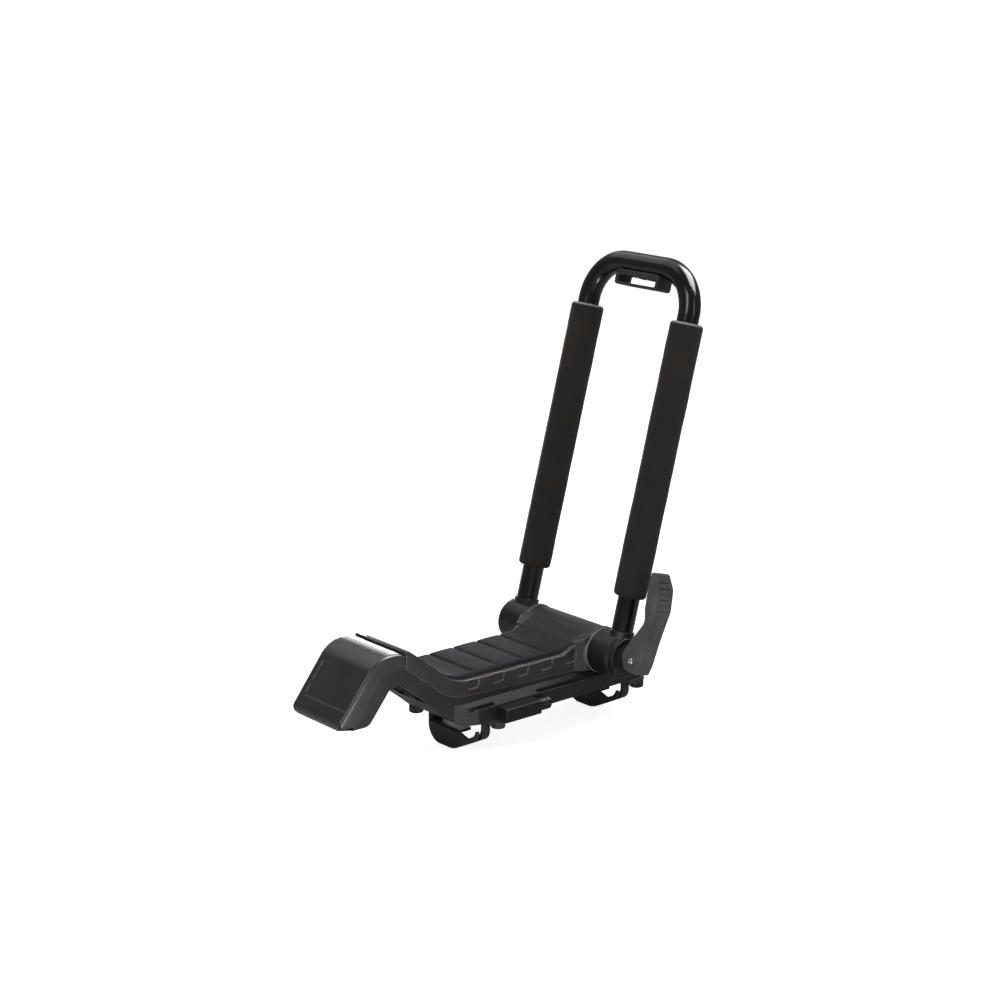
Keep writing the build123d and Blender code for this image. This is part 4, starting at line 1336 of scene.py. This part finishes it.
@dataclass
class BarClamp:
    """One jaw with its liner, knobs and screws."""

    bench: Bench
    end: End

    def build(self) -> None:
        """Paint the clamp."""
        end = self.end.value
        self.bench.paint("clamp_grain", f"{end}_jaw")
        self.bench.paint("grip_rubber", f"{end}_jaw_liner")
        for flank in Flank:
            self.bench.paint("knob_black", f"{end}_{flank.value}_knob")
            self.bench.paint("zinc_plate", f"{end}_{flank.value}_screw")


@dataclass(frozen=True)
class SoftBox:
    """Rectangular lamp: place, width and height, and watts. A card is one that only reflections show."""

    name: str
    where: tuple[float, float, float]
    size: tuple[float, float]
    power: float
    card: bool = False

    def hang(self, target: Vector) -> None:
        """Hang the lamp.

        Args:
            target: what it is aimed at.
        """
        data = bpy.data.lights.new(self.name, "AREA")
        data.shape = "RECTANGLE"
        data.size, data.size_y = self.size
        data.energy = self.power
        lamp = bpy.data.objects.new(self.name, data)
        bpy.context.scene.collection.objects.link(lamp)
        lamp.location = self.where
        lamp.visible_camera = False
        lamp.visible_diffuse = not self.card
        lamp.rotation_mode = "QUATERNION"
        lamp.rotation_quaternion = (Vector(self.where) - target).to_track_quat("Z", "Y")


@dataclass
class Studio:
    """White studio with the photograph's camera."""

    target: Sequence[float] = (-0.0484, 0.0, 0.2391)
    azimuth: float = -40.86
    elevation: float = 14.755
    roll: float = 0.464
    distance: float = 2.4888
    focal: float = 2.216
    sensor: float = 36.0
    floor_half: float = 60.0
    floor_gap: float = 0.2 * MM
    floor_grey: float = 0.8
    floor_glow: float = 0.84
    sky: float = 0.3
    lamps: Sequence[SoftBox] = (
        SoftBox("right_box", (0.3, -2.3, 1.1), (0.3, 1.2), 7.5),
        SoftBox("top_box", (0.0, 1.4, 2.35), (2.6, 2.0), 26.0),
        SoftBox("left_box", (-2.05, -0.6, 1.8), (0.8, 1.2), 31.0),
        SoftBox("high_card", (1.15, -0.56, 2.35), (2.1, 1.7), 270.0, card=True),
        SoftBox("back_card", (0.31, 0.69, 0.165), (0.34, 0.16), 5.5, card=True),
        SoftBox("floor_card", (-0.25, -0.26, CAD_BOX[0].z + 4.0 * MM), (0.24, 0.2), 3.0, card=True),
    )

    def build(self) -> None:
        """Add camera, floor, lamps and surroundings."""
        self.add_camera()
        self.add_floor()
        for lamp in self.lamps:
            lamp.hang(Vector(self.target))
        self.add_world()
        bpy.context.scene.view_settings.view_transform = "Standard"

    def add_camera(self) -> None:
        """The camera that took the photograph."""
        data = bpy.data.cameras.new("camera")
        data.sensor_width = self.sensor
        data.lens = self.focal * self.sensor
        data.clip_end = 2.0 * self.floor_half
        camera = bpy.data.objects.new("camera", data)
        bpy.context.scene.collection.objects.link(camera)
        a, e, r = (math.radians(v) for v in (self.azimuth, self.elevation, self.roll))
        back = Vector((math.sin(a) * math.cos(e), -math.cos(a) * math.cos(e), math.sin(e)))
        right = Vector((math.cos(a), math.sin(a), 0.0))
        up = back.cross(right)
        axes = Matrix((math.cos(r) * right + math.sin(r) * up, math.cos(r) * up - math.sin(r) * right, back))
        where = Vector(self.target) + back * self.distance
        camera.matrix_world = Matrix.Translation(where) @ axes.transposed().to_4x4()
        bpy.context.scene.camera = camera

    def add_floor(self) -> None:
        """A wide pale floor under the clamps, white where nothing shades it."""
        mesh = bmesh.new()
        bmesh.ops.create_grid(mesh, x_segments=1, y_segments=1, size=self.floor_half)
        bmesh.ops.translate(mesh, verts=mesh.verts, vec=(0.0, 0.0, CAD_BOX[0].z - self.floor_gap))
        data = bpy.data.meshes.new("floor")
        mesh.to_mesh(data)
        mesh.free()
        floor = bpy.data.objects.new("floor", data)
        bpy.context.scene.collection.objects.link(floor)
        material = bpy.data.materials.new("studio_floor")
        material.use_nodes = True
        graph = Graph(material.node_tree)
        grey = (self.floor_grey, self.floor_grey, self.floor_grey, 1.0)
        paint = graph.node("ShaderNodeBsdfDiffuse", {}, {"Color": grey})
        glow = graph.node("ShaderNodeEmission", {}, {"Strength": graph.seen() * self.floor_glow})
        both = graph.node("ShaderNodeAddShader", {}, {0: paint, 1: glow})
        graph.node("ShaderNodeOutputMaterial", {}, {"Surface": both})
        data.materials.append(material)

    def add_world(self) -> None:
        """Even dim surroundings, white behind the carrier."""
        world = bpy.data.worlds.new("studio")
        world.use_nodes = True
        graph = Graph(world.node_tree)
        strength = graph.seen() * (1.0 - self.sky) + self.sky
        white = {"Color": (1.0, 1.0, 1.0, 1.0), "Strength": strength}
        graph.node("ShaderNodeOutputWorld", {}, {"Surface": graph.node("ShaderNodeBackground", {}, white)})
        bpy.context.scene.world = world


def main() -> None:
    """Build the carrier and its studio."""
    logging.basicConfig(level=logging.INFO, format="%(name)s %(message)s")
    bench = Bench(Finishes())
    lean = LeanFrame()
    parts = [
        BaseShell(bench), NoseCap(bench), HullPad(bench), Hinge(bench, lean), Upright(bench, lean),
        CamLever(bench, lean), BarClamp(bench, End.FRONT), BarClamp(bench, End.REAR), Studio(),
    ]
    for part in parts:
        part.build()


if __name__ == "__main__":
    main()
